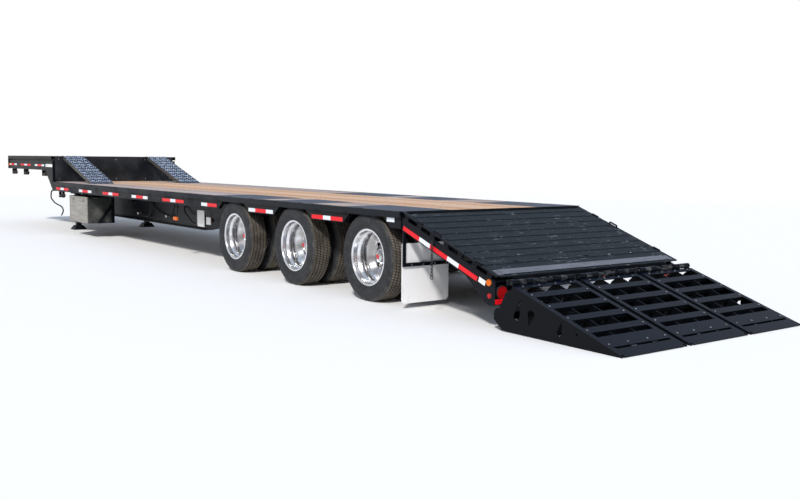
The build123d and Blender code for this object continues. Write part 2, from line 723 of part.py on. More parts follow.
def teardrop(x, z, radius, tip_x, tip_z, y0, y1):
    """A hole with one round end and one pointed end."""
    reach = hypot(tip_x - x, tip_z - z)
    ux = (tip_x - x) / reach
    uz = (tip_z - z) / reach
    back = radius * radius / reach
    off = radius * (reach**2 - radius**2) ** 0.5 / reach
    touch = [(x + ux * back - uz * off * side, z + uz * back + ux * off * side) for side in (1, -1)]
    arc = ThreePointArc(touch[0], (x - ux * radius, z - uz * radius), touch[1])
    wire = Wire([Line((tip_x, tip_z), touch[0]), arc, Line(touch[1], (tip_x, tip_z))])
    side_plane = Plane(origin=(0, y1, 0), x_dir=(1, 0, 0), z_dir=(0, -1, 0))
    return extrude(side_plane * make_face(wire), y1 - y0)


ramp_half = ramp_width / 2
inner_half = ramp_half - RAMP_PLATE
rib_y = ramp_width / 6
channel_starts = [RAMP_CHANNEL_PITCH * (row + 1) - 34 for row in range(RAMP_CHANNEL_COUNT)]
wide_start = channel_starts[-1] + RAMP_CHANNEL_WIDTH + 75
toe_start = ramp_length - RAMP_TOE_PLATE
TOE_INSET = 30
HEEL_BAR_X = (30, 60)
HEEL_BAR_Z = (90, 150)

plates = []
ramp_pieces = []
for side in (-1, 1):
    y0, y1 = sorted((side * inner_half, side * ramp_half))
    plates.append(side_cut(outer_outline, y0, y1))
    y = side * rib_y
    plates.append(side_cut(rib_outline, y - RAMP_PLATE / 2, y + RAMP_PLATE / 2))
    y0, y1 = sorted((side * (ramp_half - RAMP_FLANGE_WIDTH), side * ramp_half))
    ramp_pieces.append(ramp_strip(hinge_plate_s, ramp_length - TOE_INSET, -RAMP_PLATE, 0, y0, y1))
# Start and end of each flat plate between the sides, along the running side from the pin
flat_plates = [(hinge_plate_s, hinge_plate_s + RAMP_HINGE_PLATE), (wide_start, wide_start + RAMP_WIDE_PLATE)]
flat_plates += [(start, start + RAMP_CHANNEL_WIDTH) for start in channel_starts]
for s0, s1 in flat_plates:
    ramp_pieces.append(ramp_strip(s0, s1, -RAMP_PLATE, 0, -inner_half, inner_half))
for start in channel_starts:
    for s in (start, start + RAMP_CHANNEL_WIDTH - RAMP_PLATE):
        ramp_pieces.append(ramp_strip(s, s + RAMP_PLATE, -RAMP_CHANNEL_DEPTH, 0, -inner_half, inner_half))
toe_half = ramp_half - TOE_INSET
toe_start = ramp_length - RAMP_TOE_PLATE
ramp_pieces.append(ramp_strip(toe_start, ramp_length, -RAMP_PLATE, 0, -toe_half, toe_half))
heel_x = pin_x + RAMP_FRONT[0][0]
ramp_pieces.append(block(heel_x + HEEL_BAR_X[0], heel_x + HEEL_BAR_X[1], -inner_half, inner_half,
                         *HEEL_BAR_Z))
for y in ramp_knuckles:
    y0 = y - KNUCKLE_LENGTH / 2
    y1 = y + KNUCKLE_LENGTH / 2
    ramp_pieces.append(pin_ring(y0, y1, KNUCKLE_RADIUS))
    ramp_pieces.append(ramp_strip(0, hinge_plate_s + 2, -RAMP_PLATE, 0, y0, y1))
holes = [teardrop(pin_x + x, z, radius, pin_x + tip_x, tip_z, -ramp_half - 1, ramp_half + 1)
         for x, z, radius, tip_x, tip_z in TEARDROPS]
plain_ramp = fused([fused(plates) - holes, *ramp_pieces])
plain_ramp -= pin_ring(-ramp_half + 1, ramp_half - 1, PIN_DIAMETER / 2 + PIN_CLEARANCE)
for side_name, centre in zip(("right", "centre", "left"), ramp_centres):
    save(f"ramp_{side_name}", Pos(0, centre, 0) * plain_ramp)

# Red lamps: round tail lamps in the light boxes, side markers on them, three small ones in the header
HEADER_LAMP_RADIUS = 12
HEADER_LAMP_PITCH = 130
HEADER_LAMP_DEPTH = 14
MARKER_UP = 84
lamp_y = box_inner_y + BOX_WALL + MARKER_DEPTH * 2 + LAMP_RADIUS
lamp_z = box_low_z + BOX_WALL + MARKER_RADIUS * 2 + LAMP_RADIUS
red_marker_x = panel_x + MARKER_RADIUS
red_marker_z = box_low_z + MARKER_UP
header_lamp_z = header_low + HEADER_LAMP_RADIUS + 3
lamps = []
for side in (1, -1):
    lamps.append(tube((panel_x - SEAT, lamp_y * side, lamp_z), (panel_x - LAMP_DEPTH, lamp_y * side, lamp_z),
                      2 * LAMP_RADIUS))
    lamps.append(tube((red_marker_x, tail_outer * side, red_marker_z),
                      (red_marker_x, (tail_outer + MARKER_DEPTH) * side, red_marker_z), 2 * MARKER_RADIUS))
for y in (-HEADER_LAMP_PITCH, 0, HEADER_LAMP_PITCH):
    lamps.append(tube((tail_end_x, y, header_lamp_z), (tail_end_x - HEADER_LAMP_DEPTH, y, header_lamp_z),
                      2 * HEADER_LAMP_RADIUS))
save("red_lamps", lamps)

# Amber lamps: on the light boxes, hung under the side rails and at the nose
AMBER_RADIUS = 30
AMBER_RISE = -92
AMBER_SETBACK = 98
MID_LAMP_SETBACK = 5800
MID_LAMP_LENGTH = 124
MID_LAMP_Z = 556
MID_LAMP_HEIGHT = 50
MID_LAMP_DEPTH = 24
NOSE_LAMP_INSET = 70
NOSE_LAMP_RADIUS = 28
marker_x = tail_end_x + AMBER_SETBACK
marker_z = tail_line(marker_x, AMBER_RISE)
mid_lamp_x = neck_x - MID_LAMP_SETBACK
mid_lamp_y = rail_inner_y - 35
nose_lamp_x = nose_x - NOSE_LAMP_INSET
nose_lamp_z = (upper_rail_low + upper_joint_z) / 2 - PLATE
markers = []
for side in (1, -1):
    markers.append(tube((marker_x, tail_outer * side, marker_z),
                        (marker_x, (tail_outer + MARKER_DEPTH) * side, marker_z), 2 * AMBER_RADIUS))
    markers.append(block(mid_lamp_x - MID_LAMP_LENGTH / 2, mid_lamp_x + MID_LAMP_LENGTH / 2,
                         mid_lamp_y * side, (mid_lamp_y + MID_LAMP_DEPTH) * side,
                         MID_LAMP_Z, MID_LAMP_Z + MID_LAMP_HEIGHT))
    markers.append(tube((nose_lamp_x, channel_outer * side, nose_lamp_z),
                        (nose_lamp_x, (half - 2) * side, nose_lamp_z), 2 * NOSE_LAMP_RADIUS))
save("amber_lamps", markers)

# Lamp brackets: a drop arm from the side channel's inner wall behind each hanging amber lamp
ARM_HALF = 16
bracket = block(mid_lamp_x - ARM_HALF, mid_lamp_x + ARM_HALF, mid_lamp_y - PLATE, mid_lamp_y,
                MID_LAMP_Z, channel_low + 60)
bracket += block(mid_lamp_x - ARM_HALF, mid_lamp_x + ARM_HALF, mid_lamp_y - PLATE, rail_inner_y,
                 channel_low + 20, channel_low + 20 + PLATE)
save("lamp_brackets", both_sides(bracket))

# Mud flaps and their frames behind the rear wheels
flap_x = tail_top_x - FLAP_INSET + PLATE
flap_outer = tail_outer + PLATE / 2
flap_inner = flap_outer - FLAP_WIDTH
flap_back_x = flap_x - FLAP_THICKNESS - SEAT
bar_x = flap_back_x - 22
flap = block(flap_x - FLAP_THICKNESS, flap_x, flap_inner, flap_outer, FLAP_LOW_Z, FLAP_TOP_Z)
flap = fillet(flap.edges().filter_by(Axis.X).group_by(Axis.Z)[0], FLAP_CORNER)
save("mud_flaps", both_sides(flap))
bar_low = FLAP_BAR_Z - FLAP_BAR / 2
hang_low = beam_rear_low + 110
flap_frame = fused([
    block(bar_x, flap_back_x, flap_inner - 30, flap_outer, bar_low, bar_low + FLAP_BAR),
    block(bar_x, flap_back_x, flap_outer - 30, flap_outer, bar_low,
          tail_line(bar_x, -TAIL_SIDE_DEPTH) - SEAT),
    block(bar_x, flap_back_x, flap_inner - 30, flap_inner, bar_low, hang_low + 30),
    block(bar_x, flap_back_x, web_y, flap_inner, hang_low, hang_low + 30),
])
save("flap_frames", both_sides(flap_frame))

# Axles: a tube with spindles, brake backing plates and chambers
BACKING_THICKNESS = 12
CHAMBER_RISE = 20
dual_mid_y = half - TYRE_INSET - TYRE_WIDTH / 2 - DUAL_SPACING / 2
drum_inner_y = dual_mid_y - DISC_THICKNESS - DRUM_WIDTH
backing_y = drum_inner_y - 2 * BACKING_THICKNESS
hub_outer_y = dual_mid_y + HUB_LENGTH
spindle_end = hub_outer_y - 34
chamber_y = backing_y - CHAMBER_LENGTH
axles = []
for x in axle_xs:
    chamber_x = x - CHAMBER_SETBACK
    chamber_z = axle_z + CHAMBER_RISE
    axle = [tube((x, -backing_y, axle_z), (x, backing_y, axle_z), AXLE_TUBE_DIAMETER),
            tube((x, -spindle_end, axle_z), (x, spindle_end, axle_z), SPINDLE_DIAMETER)]
    for side in (1, -1):
        axle.append(tube((x, (backing_y - 4) * side, axle_z),
                         (x, (backing_y - 4 + BACKING_THICKNESS) * side, axle_z), 2 * BACKING_RADIUS))
        axle.append(tube((chamber_x, (chamber_y - 20) * side, chamber_z),
                         (chamber_x, (backing_y - 20) * side, chamber_z), CHAMBER_DIAMETER))
        axle.append(block(chamber_x - 10, x, (backing_y - 40) * side, (backing_y - 20) * side,
                          axle_z - 20, axle_z + 60))
    axles.append(fused(axle))
save("axles", axles)

# Wheels: two deep-dish rims bolted back to back on one hub and brake drum, each with its tyre
rim_half = RIM_WIDTH / 2
rim_outer = RIM_RADIUS + RIM_FLANGE
rim_inner = RIM_RADIUS - RIM_WALL
well_radius = RIM_RADIUS - RIM_WELL
hub_inner = HUB_RADIUS - 20
hub_bore = SPINDLE_DIAMETER / 2 + SEAT
# Radius and y of half a rim's section, flange to middle, first outside then inside
RIM_OUTSIDE = [(rim_outer, rim_half), (rim_outer, rim_half - 6), (RIM_RADIUS, rim_half - 8),
               (RIM_RADIUS, rim_half * 0.38), (well_radius, rim_half * 0.23)]
RIM_INSIDE = [(well_radius - RIM_WALL, rim_half * 0.29), (rim_inner, rim_half * 0.43),
              (rim_inner, rim_half - 14), (rim_outer - RIM_WALL, rim_half)]
# Radius and y of the outer rim's disc, from the joint between the twin wheels
cone_y = DUAL_SPACING / 2 - rim_half + 26
DISC_PROFILE = [(hub_inner, 0), (DRUM_RADIUS + 6, 0), (RIM_RADIUS - 6, cone_y),
                (RIM_RADIUS - 6, cone_y + 20), (RIM_RADIUS - 38, cone_y + 10),
                (DRUM_RADIUS - 4, DISC_THICKNESS), (hub_inner, DISC_THICKNESS)]
# Radius and y of half a tyre's section, bead to tread
TYRE_HALF = [(RIM_RADIUS + SEAT, rim_half - 8.5), (rim_outer + SEAT, rim_half - 6.5),
             (rim_outer + 18, rim_half + 1), ((RIM_RADIUS + tyre_radius) / 2, TYRE_WIDTH / 2),
             (tyre_radius - 42, TYRE_WIDTH / 2 - 5), (tyre_radius, TYRE_WIDTH / 2 - 26)]


def spun(profile):
    """A ring turned about the wheel's axis from (radius, y) points."""
    return revolve(make_face(Polyline(*profile, close=True)), Axis.Y)


def dual_wheel():
    """Two rims on one hub and brake drum, with hand holes through both discs."""
    middle = DUAL_SPACING / 2
    outline = RIM_OUTSIDE + [(r, -y) for r, y in reversed(RIM_OUTSIDE)]
    outline += [(r, -y) for r, y in RIM_INSIDE[::-1]] + RIM_INSIDE
    outer_wheel = spun([(r, y + middle) for r, y in outline]) + spun(DISC_PROFILE)
    drum_top = -DISC_THICKNESS - 4
    drum_end = -DISC_THICKNESS - DRUM_WIDTH
    hub = spun([(hub_bore, drum_end), (HUB_RADIUS, drum_end), (HUB_RADIUS, HUB_LENGTH - 60),
                (HUB_CAP_RADIUS, HUB_LENGTH - 52), (HUB_CAP_RADIUS, HUB_LENGTH), (0, HUB_LENGTH),
                (0, HUB_LENGTH - 24), (hub_bore, HUB_LENGTH - 24)])
    drum = spun([(HUB_RADIUS - 10, drum_top), (DRUM_RADIUS, drum_top), (DRUM_RADIUS, drum_end),
                 (DRUM_RADIUS - DRUM_WALL, drum_end), (DRUM_RADIUS - DRUM_WALL, drum_top - DRUM_WALL),
                 (HUB_RADIUS - 10, drum_top - DRUM_WALL)])
    solid = fused([outer_wheel, mirror(outer_wheel, about=Plane.XZ), hub, drum])
    holes = []
    for turn in range(HAND_HOLE_COUNT):
        angle = radians(360 / HAND_HOLE_COUNT * turn)
        x = HAND_HOLE_CIRCLE * cos(angle)
        z = HAND_HOLE_CIRCLE * sin(angle)
        holes.append(tube((x, -DISC_THICKNESS - 3, z), (x, DISC_THICKNESS + 3, z), 2 * HAND_HOLE_RADIUS))
    return solid - holes


left_wheel = dual_wheel()
right_wheel = mirror(left_wheel, about=Plane.XZ)
tyre_profile = [(r, -y) for r, y in TYRE_HALF] + TYRE_HALF[::-1]
twin_tyres = [spun([(r, y + side * DUAL_SPACING / 2) for r, y in tyre_profile]) for side in (-1, 1)]
for row, x in zip(("front", "middle", "rear"), axle_xs):
    for name, side, spin in (("left", 1, left_wheel), ("right", -1, right_wheel)):
        place = Pos(x, dual_mid_y * side, axle_z)
        save(f"wheel_{row}_{name}", place * spin)
        save(f"tyres_{row}_{name}", [place * tyre for tyre in twin_tyres])

# Air suspension: hangers ahead of each axle, trailing arms under it, air springs behind
HANGER_FOOT = 50
HANGER_PLATE = 12
PIVOT_DROP = 6
SADDLE_HALF = 110
# Radius and height share of an air spring: foot, two rolls and the cap
SPRING_PROFILE = [(58, 0), (58, 0.1), (112, 0.2), (124, 0.39), (108, 0.54), (124, 0.68), (118, 0.86),
                  (82, 0.96), (82, 1)]
spring_low = axle_z - ARM_TAIL_TOP + SEAT
spring_height = beam_rear_low - SEAT - spring_low
spring_face = make_face(Polyline((0, 0), *[(r, share * spring_height) for r, share in SPRING_PROFILE],
                                 (0, spring_height), close=True))
plain_spring = Rot(90, 0, 0) * revolve(spring_face, Axis.Y)
hangers = []
arms = []
springs = []
for x in axle_xs:
    hanger_x = x + HANGER_FORWARD
    pivot_z = axle_z - PIVOT_DROP
    long_half = HANGER_LENGTH / 2
    cheek = [(hanger_x - long_half, beam_rear_low), (hanger_x + long_half, beam_rear_low),
             (hanger_x + HANGER_FOOT, axle_z - HANGER_FOOT), (hanger_x - HANGER_FOOT, axle_z - HANGER_FOOT)]
    cheek_y = HANGER_GAP + HANGER_PLATE
    hanger = fused([
        side_cut(cheek, beam_y - cheek_y, beam_y - HANGER_GAP),
        side_cut(cheek, beam_y + HANGER_GAP, beam_y + cheek_y),
        block(hanger_x - long_half, hanger_x + long_half, beam_y - cheek_y, beam_y + cheek_y,
              beam_rear_low - HANGER_PLATE, beam_rear_low),
        tube((hanger_x, beam_y - cheek_y, pivot_z), (hanger_x, beam_y + cheek_y, pivot_z), PIVOT_DIAMETER),
    ])
    hangers += both_sides(hanger)
    arm_outline = [
        (hanger_x + 44, axle_z - 40), (hanger_x + 44, axle_z + 34), (hanger_x - 60, axle_z + 34),
        (x + SADDLE_HALF, axle_z - ARM_SADDLE), (x - SADDLE_HALF, axle_z - ARM_SADDLE),
        (x - SPRING_SETBACK + SPRING_REACH + 30, axle_z - ARM_TAIL_TOP),
        (x - SPRING_SETBACK - SPRING_REACH, axle_z - ARM_TAIL_TOP),
        (x - SPRING_SETBACK - SPRING_REACH, axle_z - ARM_LOW), (x + SADDLE_HALF, axle_z - ARM_LOW),
    ]
    arm = side_cut(arm_outline, beam_y - ARM_HALF_WIDTH, beam_y + ARM_HALF_WIDTH)
    arm -= [tube((x, beam_y - HANGER_GAP, axle_z), (x, beam_y + HANGER_GAP, axle_z),
                 AXLE_TUBE_DIAMETER + 2 * SEAT),
            tube((hanger_x, beam_y - HANGER_GAP, pivot_z), (hanger_x, beam_y + HANGER_GAP, pivot_z),
                 PIVOT_DIAMETER + 2 * SEAT)]
    arms += both_sides(arm)
    springs += both_sides(Pos(x - SPRING_SETBACK, beam_y, spring_low) * plain_spring)
save("suspension_hangers", hangers)
save("suspension_arms", arms)
save("air_springs", springs)

# Air tanks between the main beams, each in two strap rings on cross bars
TANK_DIAMETER = 230
TANK_LENGTH = 760
TANK_Z = 640
TANK_GAPS = (1930, 930)
STRAP_WIDTH = 40
STRAP_PLATE = 6
STRAP_INSET = 140
tanks = []
straps = []
for gap in TANK_GAPS:
    x0 = axle_xs[0] + gap
    tanks.append(tube((x0, 0, TANK_Z), (x0 + TANK_LENGTH, 0, TANK_Z), TANK_DIAMETER))
    for x in (x0 + STRAP_INSET, x0 + TANK_LENGTH - STRAP_INSET - STRAP_WIDTH):
        ring = tube((x, 0, TANK_Z), (x + STRAP_WIDTH, 0, TANK_Z), TANK_DIAMETER + 2 * STRAP_PLATE)
        bar_z = TANK_Z + TANK_DIAMETER / 2 + STRAP_PLATE / 2
        ring += block(x, x + STRAP_WIDTH, -inner_web_y, inner_web_y, bar_z, bar_z + PLATE)
        seat = tube((x - 1, 0, TANK_Z), (x + STRAP_WIDTH + 1, 0, TANK_Z), TANK_DIAMETER + 2 * SEAT)
        straps.append(ring - seat)
save("air_tanks", tanks)
save("tank_hangers", straps)

# Toolbox: a hollow sheet box with a drop-down door, hung from the left main beam by two brackets
LATCH_INSET = 220
LATCH_HALF = 30
LATCH_DEPTH = 14
LATCH_HEIGHT = 50
LATCH_DROP = 40
toolbox_front = neck_x - TOOLBOX_SETBACK
toolbox_rear = toolbox_front - TOOLBOX_LENGTH
toolbox_top = channel_low - TOOLBOX_DROP
toolbox_low = toolbox_top - TOOLBOX_HEIGHT
door_outer = half - TOOLBOX_INSET
shell_outer = door_outer - DOOR_THICKNESS - SEAT
shell_inner = door_outer - TOOLBOX_DEPTH
toolbox = block(toolbox_rear, toolbox_front, shell_inner, shell_outer, toolbox_low, toolbox_top)
toolbox -= block(toolbox_rear + TOOLBOX_WALL, toolbox_front - TOOLBOX_WALL, shell_inner + TOOLBOX_WALL,
                 shell_outer + 1, toolbox_low + TOOLBOX_WALL, toolbox_top - TOOLBOX_WALL)
save("toolbox", toolbox)
door = block(toolbox_rear + DOOR_MARGIN, toolbox_front - DOOR_MARGIN, shell_outer + SEAT, door_outer,
             toolbox_low + DOOR_MARGIN, toolbox_top - DOOR_MARGIN)
for x in (toolbox_rear + LATCH_INSET, toolbox_front - LATCH_INSET):
    door += block(x - LATCH_HALF, x + LATCH_HALF, door_outer - 1, door_outer + LATCH_DEPTH,
                  toolbox_top - LATCH_DROP - LATCH_HEIGHT, toolbox_top - LATCH_DROP)
save("toolbox_door", door)
brackets = []
for x0 in (toolbox_rear - HANGER_BAR - SEAT, toolbox_front + SEAT):
    diagonal = cross_cut([(shell_inner, toolbox_low), (shell_inner + HANGER_BAR, toolbox_low),
                          (shell_outer, toolbox_top), (shell_outer - HANGER_BAR, toolbox_top)],
                         x0, x0 + PLATE)
    brackets.append(fused([
        block(x0, x0 + HANGER_BAR, web_y, shell_outer, toolbox_top - PLATE, toolbox_top),
        block(x0, x0 + PLATE, web_y, shell_outer, toolbox_top - HANGER_BAR, toolbox_top),
        block(x0, x0 + HANGER_BAR, shell_inner, shell_inner + HANGER_BAR, toolbox_low, toolbox_top),
        diagonal,
    ]))
save("toolbox_hangers", brackets)

# Valve plates: a hung carrier for the brake valves, behind the toolbox on the left side
CARRIER_INSET = 295
CARRIER_GAP = 775
CARRIER_LENGTH = 460
CARRIER_BAR = 24
BIG_PLATE = (250, 250)
SMALL_PLATE = (155, 120)
carrier_y = half - CARRIER_INSET
carrier_rear = axle_xs[0] + tyre_radius + CARRIER_GAP
carrier_front = carrier_rear + CARRIER_LENGTH
carrier_top = channel_low - TOOLBOX_DROP - 20
carrier_middle = (carrier_front + carrier_rear) / 2
hung_x = min(cross_xs, key=lambda x: abs(x - carrier_middle))
carrier = fused([
    block(carrier_rear, carrier_front, carrier_y, carrier_y + BOX_WALL,
          carrier_top - CARRIER_BAR, carrier_top),
    block(carrier_front - BIG_PLATE[0], carrier_front, carrier_y, carrier_y + BOX_WALL,
          carrier_top - BIG_PLATE[1], carrier_top),
    block(carrier_rear, carrier_rear + SMALL_PLATE[0], carrier_y, carrier_y + BOX_WALL,
          carrier_top - 85 - SMALL_PLATE[1], carrier_top),
    block(hung_x - CROSS_WIDTH / 2, hung_x + CROSS_WIDTH / 2, carrier_y, carrier_y + BOX_WALL,
          carrier_top - CARRIER_BAR, cross_top - CROSS_DEPTH),
])
save("valve_plates", carrier)

# Landing legs: square outer tubes with inner legs, braced to the neck beams, on sand shoes
LEG_TOP_DROP = 80
BRACE_Z = 400
BRACE_DIAMETER = 42
BRACKET_HALF = 110
BRACKET_ZS = (700, 1000)
GEARBOX_HALF = 70
GEARBOX_DEPTH = 70
GEARBOX_LOW = 730
GEARBOX_HIGH = 880
leg_x = neck_x + LEG_FORWARD
leg_y = half - LEG_INSET
leg_top = upper_rail_low - LEG_TOP_DROP
leg_half = LEG_OUTER / 2
shoe_half = SHOE_SIZE / 2
leg_pieces = [
    block(leg_x - leg_half, leg_x + leg_half, leg_y - leg_half, leg_y + leg_half, LEG_LOW, leg_top),
    block(leg_x - LEG_INNER / 2, leg_x + LEG_INNER / 2, leg_y - LEG_INNER / 2, leg_y + LEG_INNER / 2,
          SHOE_HEIGHT - 10, LEG_LOW),
    loft([Pos(leg_x, leg_y, SHOE_PLATE) * Rectangle(SHOE_SIZE, SHOE_SIZE),
          Pos(leg_x, leg_y, SHOE_HEIGHT) * Rectangle(SHOE_SIZE * 0.6, SHOE_SIZE * 0.6)]),
    block(leg_x - shoe_half, leg_x + shoe_half, leg_y - shoe_half, leg_y + shoe_half, 0, SHOE_PLATE),
]
for z in BRACKET_ZS:
    leg_pieces.append(block(leg_x - BRACKET_HALF, leg_x + BRACKET_HALF, web_y, leg_y - leg_half + 1,
                            z, z + 12))
leg = fused(leg_pieces)
gearbox_y = leg_y + leg_half
gearbox = block(leg_x - GEARBOX_HALF, leg_x + GEARBOX_HALF, gearbox_y - 1, gearbox_y + GEARBOX_DEPTH,
                GEARBOX_LOW, GEARBOX_HIGH)
brace = tube((leg_x, -leg_y + leg_half - 1, BRACE_Z), (leg_x, leg_y - leg_half + 1, BRACE_Z), BRACE_DIAMETER)
save("landing_legs", fused([*both_sides(leg), gearbox, brace]))

# Crank: bent rod hanging from the left leg's gearbox
CRANK_Z = 800
# Distance in from the trailer's side and height of the rod's bends, outer end of the shaft first
CRANK_BENDS = [(50, CRANK_Z), (37, 650), (115, 545), (250, 470), (280, 385), (233, 290)]
bends = [(half - inset, z) for inset, z in CRANK_BENDS]
crank_start = (leg_x, gearbox_y + GEARBOX_DEPTH + SEAT, CRANK_Z)
crank_pieces = [tube(crank_start, (leg_x, *bends[0]), CRANK_DIAMETER)]
for (y0, z0), (y1, z1) in zip(bends, bends[1:]):
    crank_pieces.append(tube((leg_x, y0, z0), (leg_x, y1, z1), CRANK_DIAMETER))
    crank_pieces.append(Pos(leg_x, y0, z0) * Sphere(CRANK_DIAMETER / 2))
save("crank", fused(crank_pieces))

# Strap winches under the left rails: cheeks and a drum below a top plate
WINCH_HALF = 100
WINCH_PLATE = 8
WINCH_HEIGHT = 120
WINCH_DRUM_DROP = 76
WINCH_DRUM_DIAMETER = 50
WINCH_NOSE_SETBACKS = (370, 1290)
WINCH_NECK_AHEAD = 625
WINCH_NECK_BEHIND = 480
# Each winch's x and the height of the rail that it hangs from
winch_places = [(nose_x - setback, upper_rail_low) for setback in WINCH_NOSE_SETBACKS]
winch_places += [(neck_x + WINCH_NECK_AHEAD, upper_rail_low), (neck_x - WINCH_NECK_BEHIND, channel_low)]
winch_y = (rail_inner_y + channel_outer) / 2
winches = []
for x, rail_low in winch_places:
    drum_z = rail_low - WINCH_DRUM_DROP
    winches.append(fused([
        block(x - WINCH_HALF, x + WINCH_HALF, rail_inner_y, channel_outer,
              rail_low - WINCH_PLATE, rail_low - SEAT),
        block(x - WINCH_HALF, x - WINCH_HALF + WINCH_PLATE, rail_inner_y, channel_outer,
              rail_low - WINCH_HEIGHT, rail_low - 1),
        block(x + WINCH_HALF - WINCH_PLATE, x + WINCH_HALF, rail_inner_y, channel_outer,
              rail_low - WINCH_HEIGHT, rail_low - 1),
        tube((x - WINCH_HALF + 1, winch_y, drum_z), (x + WINCH_HALF - 1, winch_y, drum_z),
             WINCH_DRUM_DIAMETER),
    ]))
save("winches", winches)

# Removable deck ramps: two side bars with rungs, leaning from the upper deck to the lower deck
lean = atan(STEP_HEIGHT / DECK_RAMP_RUN)
ramp_foot_x = neck_x - DECK_RAMP_RUN
ramp_top_x = neck_x - SEAT
RAMP_OVER = 6
LIP_LAP = 40


def lean_z(x):
    return deck_z + (x - ramp_foot_x) * tan(lean)


bar_depth = DECK_RAMP_DEPTH / cos(lean)
bar_outline = [
    (ramp_foot_x, deck_z + SEAT),
    (ramp_foot_x + WINCH_PLATE, deck_z + SEAT + RAMP_OVER),
    (ramp_top_x, lean_z(ramp_top_x) + RAMP_OVER),
    (ramp_top_x, lean_z(ramp_top_x) - bar_depth),
    (ramp_foot_x + bar_depth / tan(lean), deck_z + SEAT),
]
ramp_outer_y = half - DECK_RAMP_INSET
ramp_inner_y = ramp_outer_y - DECK_RAMP_WIDTH
deck_ramp = [side_cut(bar_outline, ramp_inner_y, ramp_inner_y + DECK_RAMP_WALL),
             side_cut(bar_outline, ramp_outer_y - DECK_RAMP_WALL, ramp_outer_y),
             block(neck_x - LIP_LAP, neck_x + DECK_RAMP_LIP, ramp_inner_y, ramp_outer_y,
                   upper_z + SEAT, upper_z + SEAT + RAMP_OVER)]
for x in stations(ramp_foot_x + RUNG_PITCH, ramp_top_x - LIP_LAP - RUNG_WIDTH, RUNG_PITCH):
    rung = [(x, lean_z(x)), (x + RUNG_WIDTH, lean_z(x + RUNG_WIDTH))]
    deck_ramp.append(side_cut(band(rung, RUNG_THICKNESS), ramp_inner_y, ramp_outer_y))
save("deck_ramps", both_sides(fused(deck_ramp)))

# Safety chain on a pin in the left beavertail side, with a ring at its end
CHAIN_SETBACK = 505
CHAIN_DROP = 330
LINK_COUNT = 10
LINK_WIDTH = 24
WIRE = 6
RING_RADIUS = 22
HOOK_DIAMETER = 8
chain_x = tail_top_x - CHAIN_SETBACK
chain_y = half - LINK_WIDTH / 2 - 1
chain_top = tail_line(chain_x, slot_low) - 2 * WIRE
link_pitch = CHAIN_DROP / LINK_COUNT
link_length = link_pitch + 2 * WIRE + SEAT


def flat_link(length, width):
    face = SlotOverall(length, width) - SlotOverall(length - 2 * WIRE, width - 2 * WIRE)
    return extrude(face, WIRE / 2, both=True)


chain = []
for row in range(LINK_COUNT):
    turn = 90 if row % 2 == 0 else 0
    link = Rot(0, 0, turn) * Rot(0, 90, 0) * flat_link(link_length, LINK_WIDTH)
    chain.append(Pos(chain_x, chain_y, chain_top - link_length / 2 - link_pitch * row) * link)
last_low = chain_top - link_length - link_pitch * (LINK_COUNT - 1)
hoop = extrude(Circle(RING_RADIUS) - Circle(RING_RADIUS - WIRE), WIRE / 2, both=True)
chain.append(Pos(chain_x, chain_y, last_low + 2 * WIRE + SEAT - RING_RADIUS) * Rot(90, 0, 0) * hoop)
hook_z = chain_top - WIRE - HOOK_DIAMETER / 2 - SEAT
hook = tube((chain_x, tail_outer, hook_z), (chain_x, half - 5, hook_z), HOOK_DIAMETER)
hook += tube((chain_x, half - 8, hook_z), (chain_x, half - 4, hook_z), 2 * HOOK_DIAMETER + 1)
chain.append(hook)
save("safety_chain", chain)
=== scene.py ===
import json
from math import atan, cos, pi, radians, sin, tan
import bmesh
import bpy
from mathutils import Matrix, Vector


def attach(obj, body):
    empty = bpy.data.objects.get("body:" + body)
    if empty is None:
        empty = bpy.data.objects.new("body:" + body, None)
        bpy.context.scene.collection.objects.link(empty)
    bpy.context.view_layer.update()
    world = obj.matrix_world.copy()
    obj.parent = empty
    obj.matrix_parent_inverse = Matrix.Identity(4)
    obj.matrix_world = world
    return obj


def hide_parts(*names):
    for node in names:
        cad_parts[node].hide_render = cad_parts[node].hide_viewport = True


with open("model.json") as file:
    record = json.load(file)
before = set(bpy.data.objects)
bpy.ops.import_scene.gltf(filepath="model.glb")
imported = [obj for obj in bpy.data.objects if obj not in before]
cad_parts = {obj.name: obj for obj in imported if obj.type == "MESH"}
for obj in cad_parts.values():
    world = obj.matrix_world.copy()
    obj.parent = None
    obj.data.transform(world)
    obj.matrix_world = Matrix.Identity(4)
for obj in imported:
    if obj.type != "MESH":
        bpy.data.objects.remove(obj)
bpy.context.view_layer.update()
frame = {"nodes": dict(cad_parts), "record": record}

nodes = frame["nodes"]

# The stage: the photograph's camera behind the left rear corner, a pale floor and a white surround,
# a broad soft sun from behind and above, and an even sky.
CAMERA_PLACE = (-13.316, 6.7715, 1.5007)
CAMERA_TURN = (radians(84.358), radians(-0.534), radians(-126.739))
lens = bpy.data.cameras.new("photo_lens")
lens.sensor_width = 36
lens.lens = 41.725
lens.clip_end = 300
camera = bpy.data.objects.new("photo_camera", lens)
camera.location = CAMERA_PLACE
camera.rotation_euler = CAMERA_TURN
bpy.context.scene.collection.objects.link(camera)
bpy.context.scene.camera = camera
bpy.context.scene.view_settings.view_transform = "Standard"

sunlight = bpy.data.lights.new("soft_sun", "SUN")
sunlight.energy = 3.1
sunlight.angle = radians(6)
sunlight.color = (1, 0.965, 0.92)
sun = bpy.data.objects.new("soft_sun", sunlight)
sun.rotation_euler = Vector((0.58, -0.64, -0.72)).to_track_quat("-Z", "Y").to_euler()
bpy.context.scene.collection.objects.link(sun)


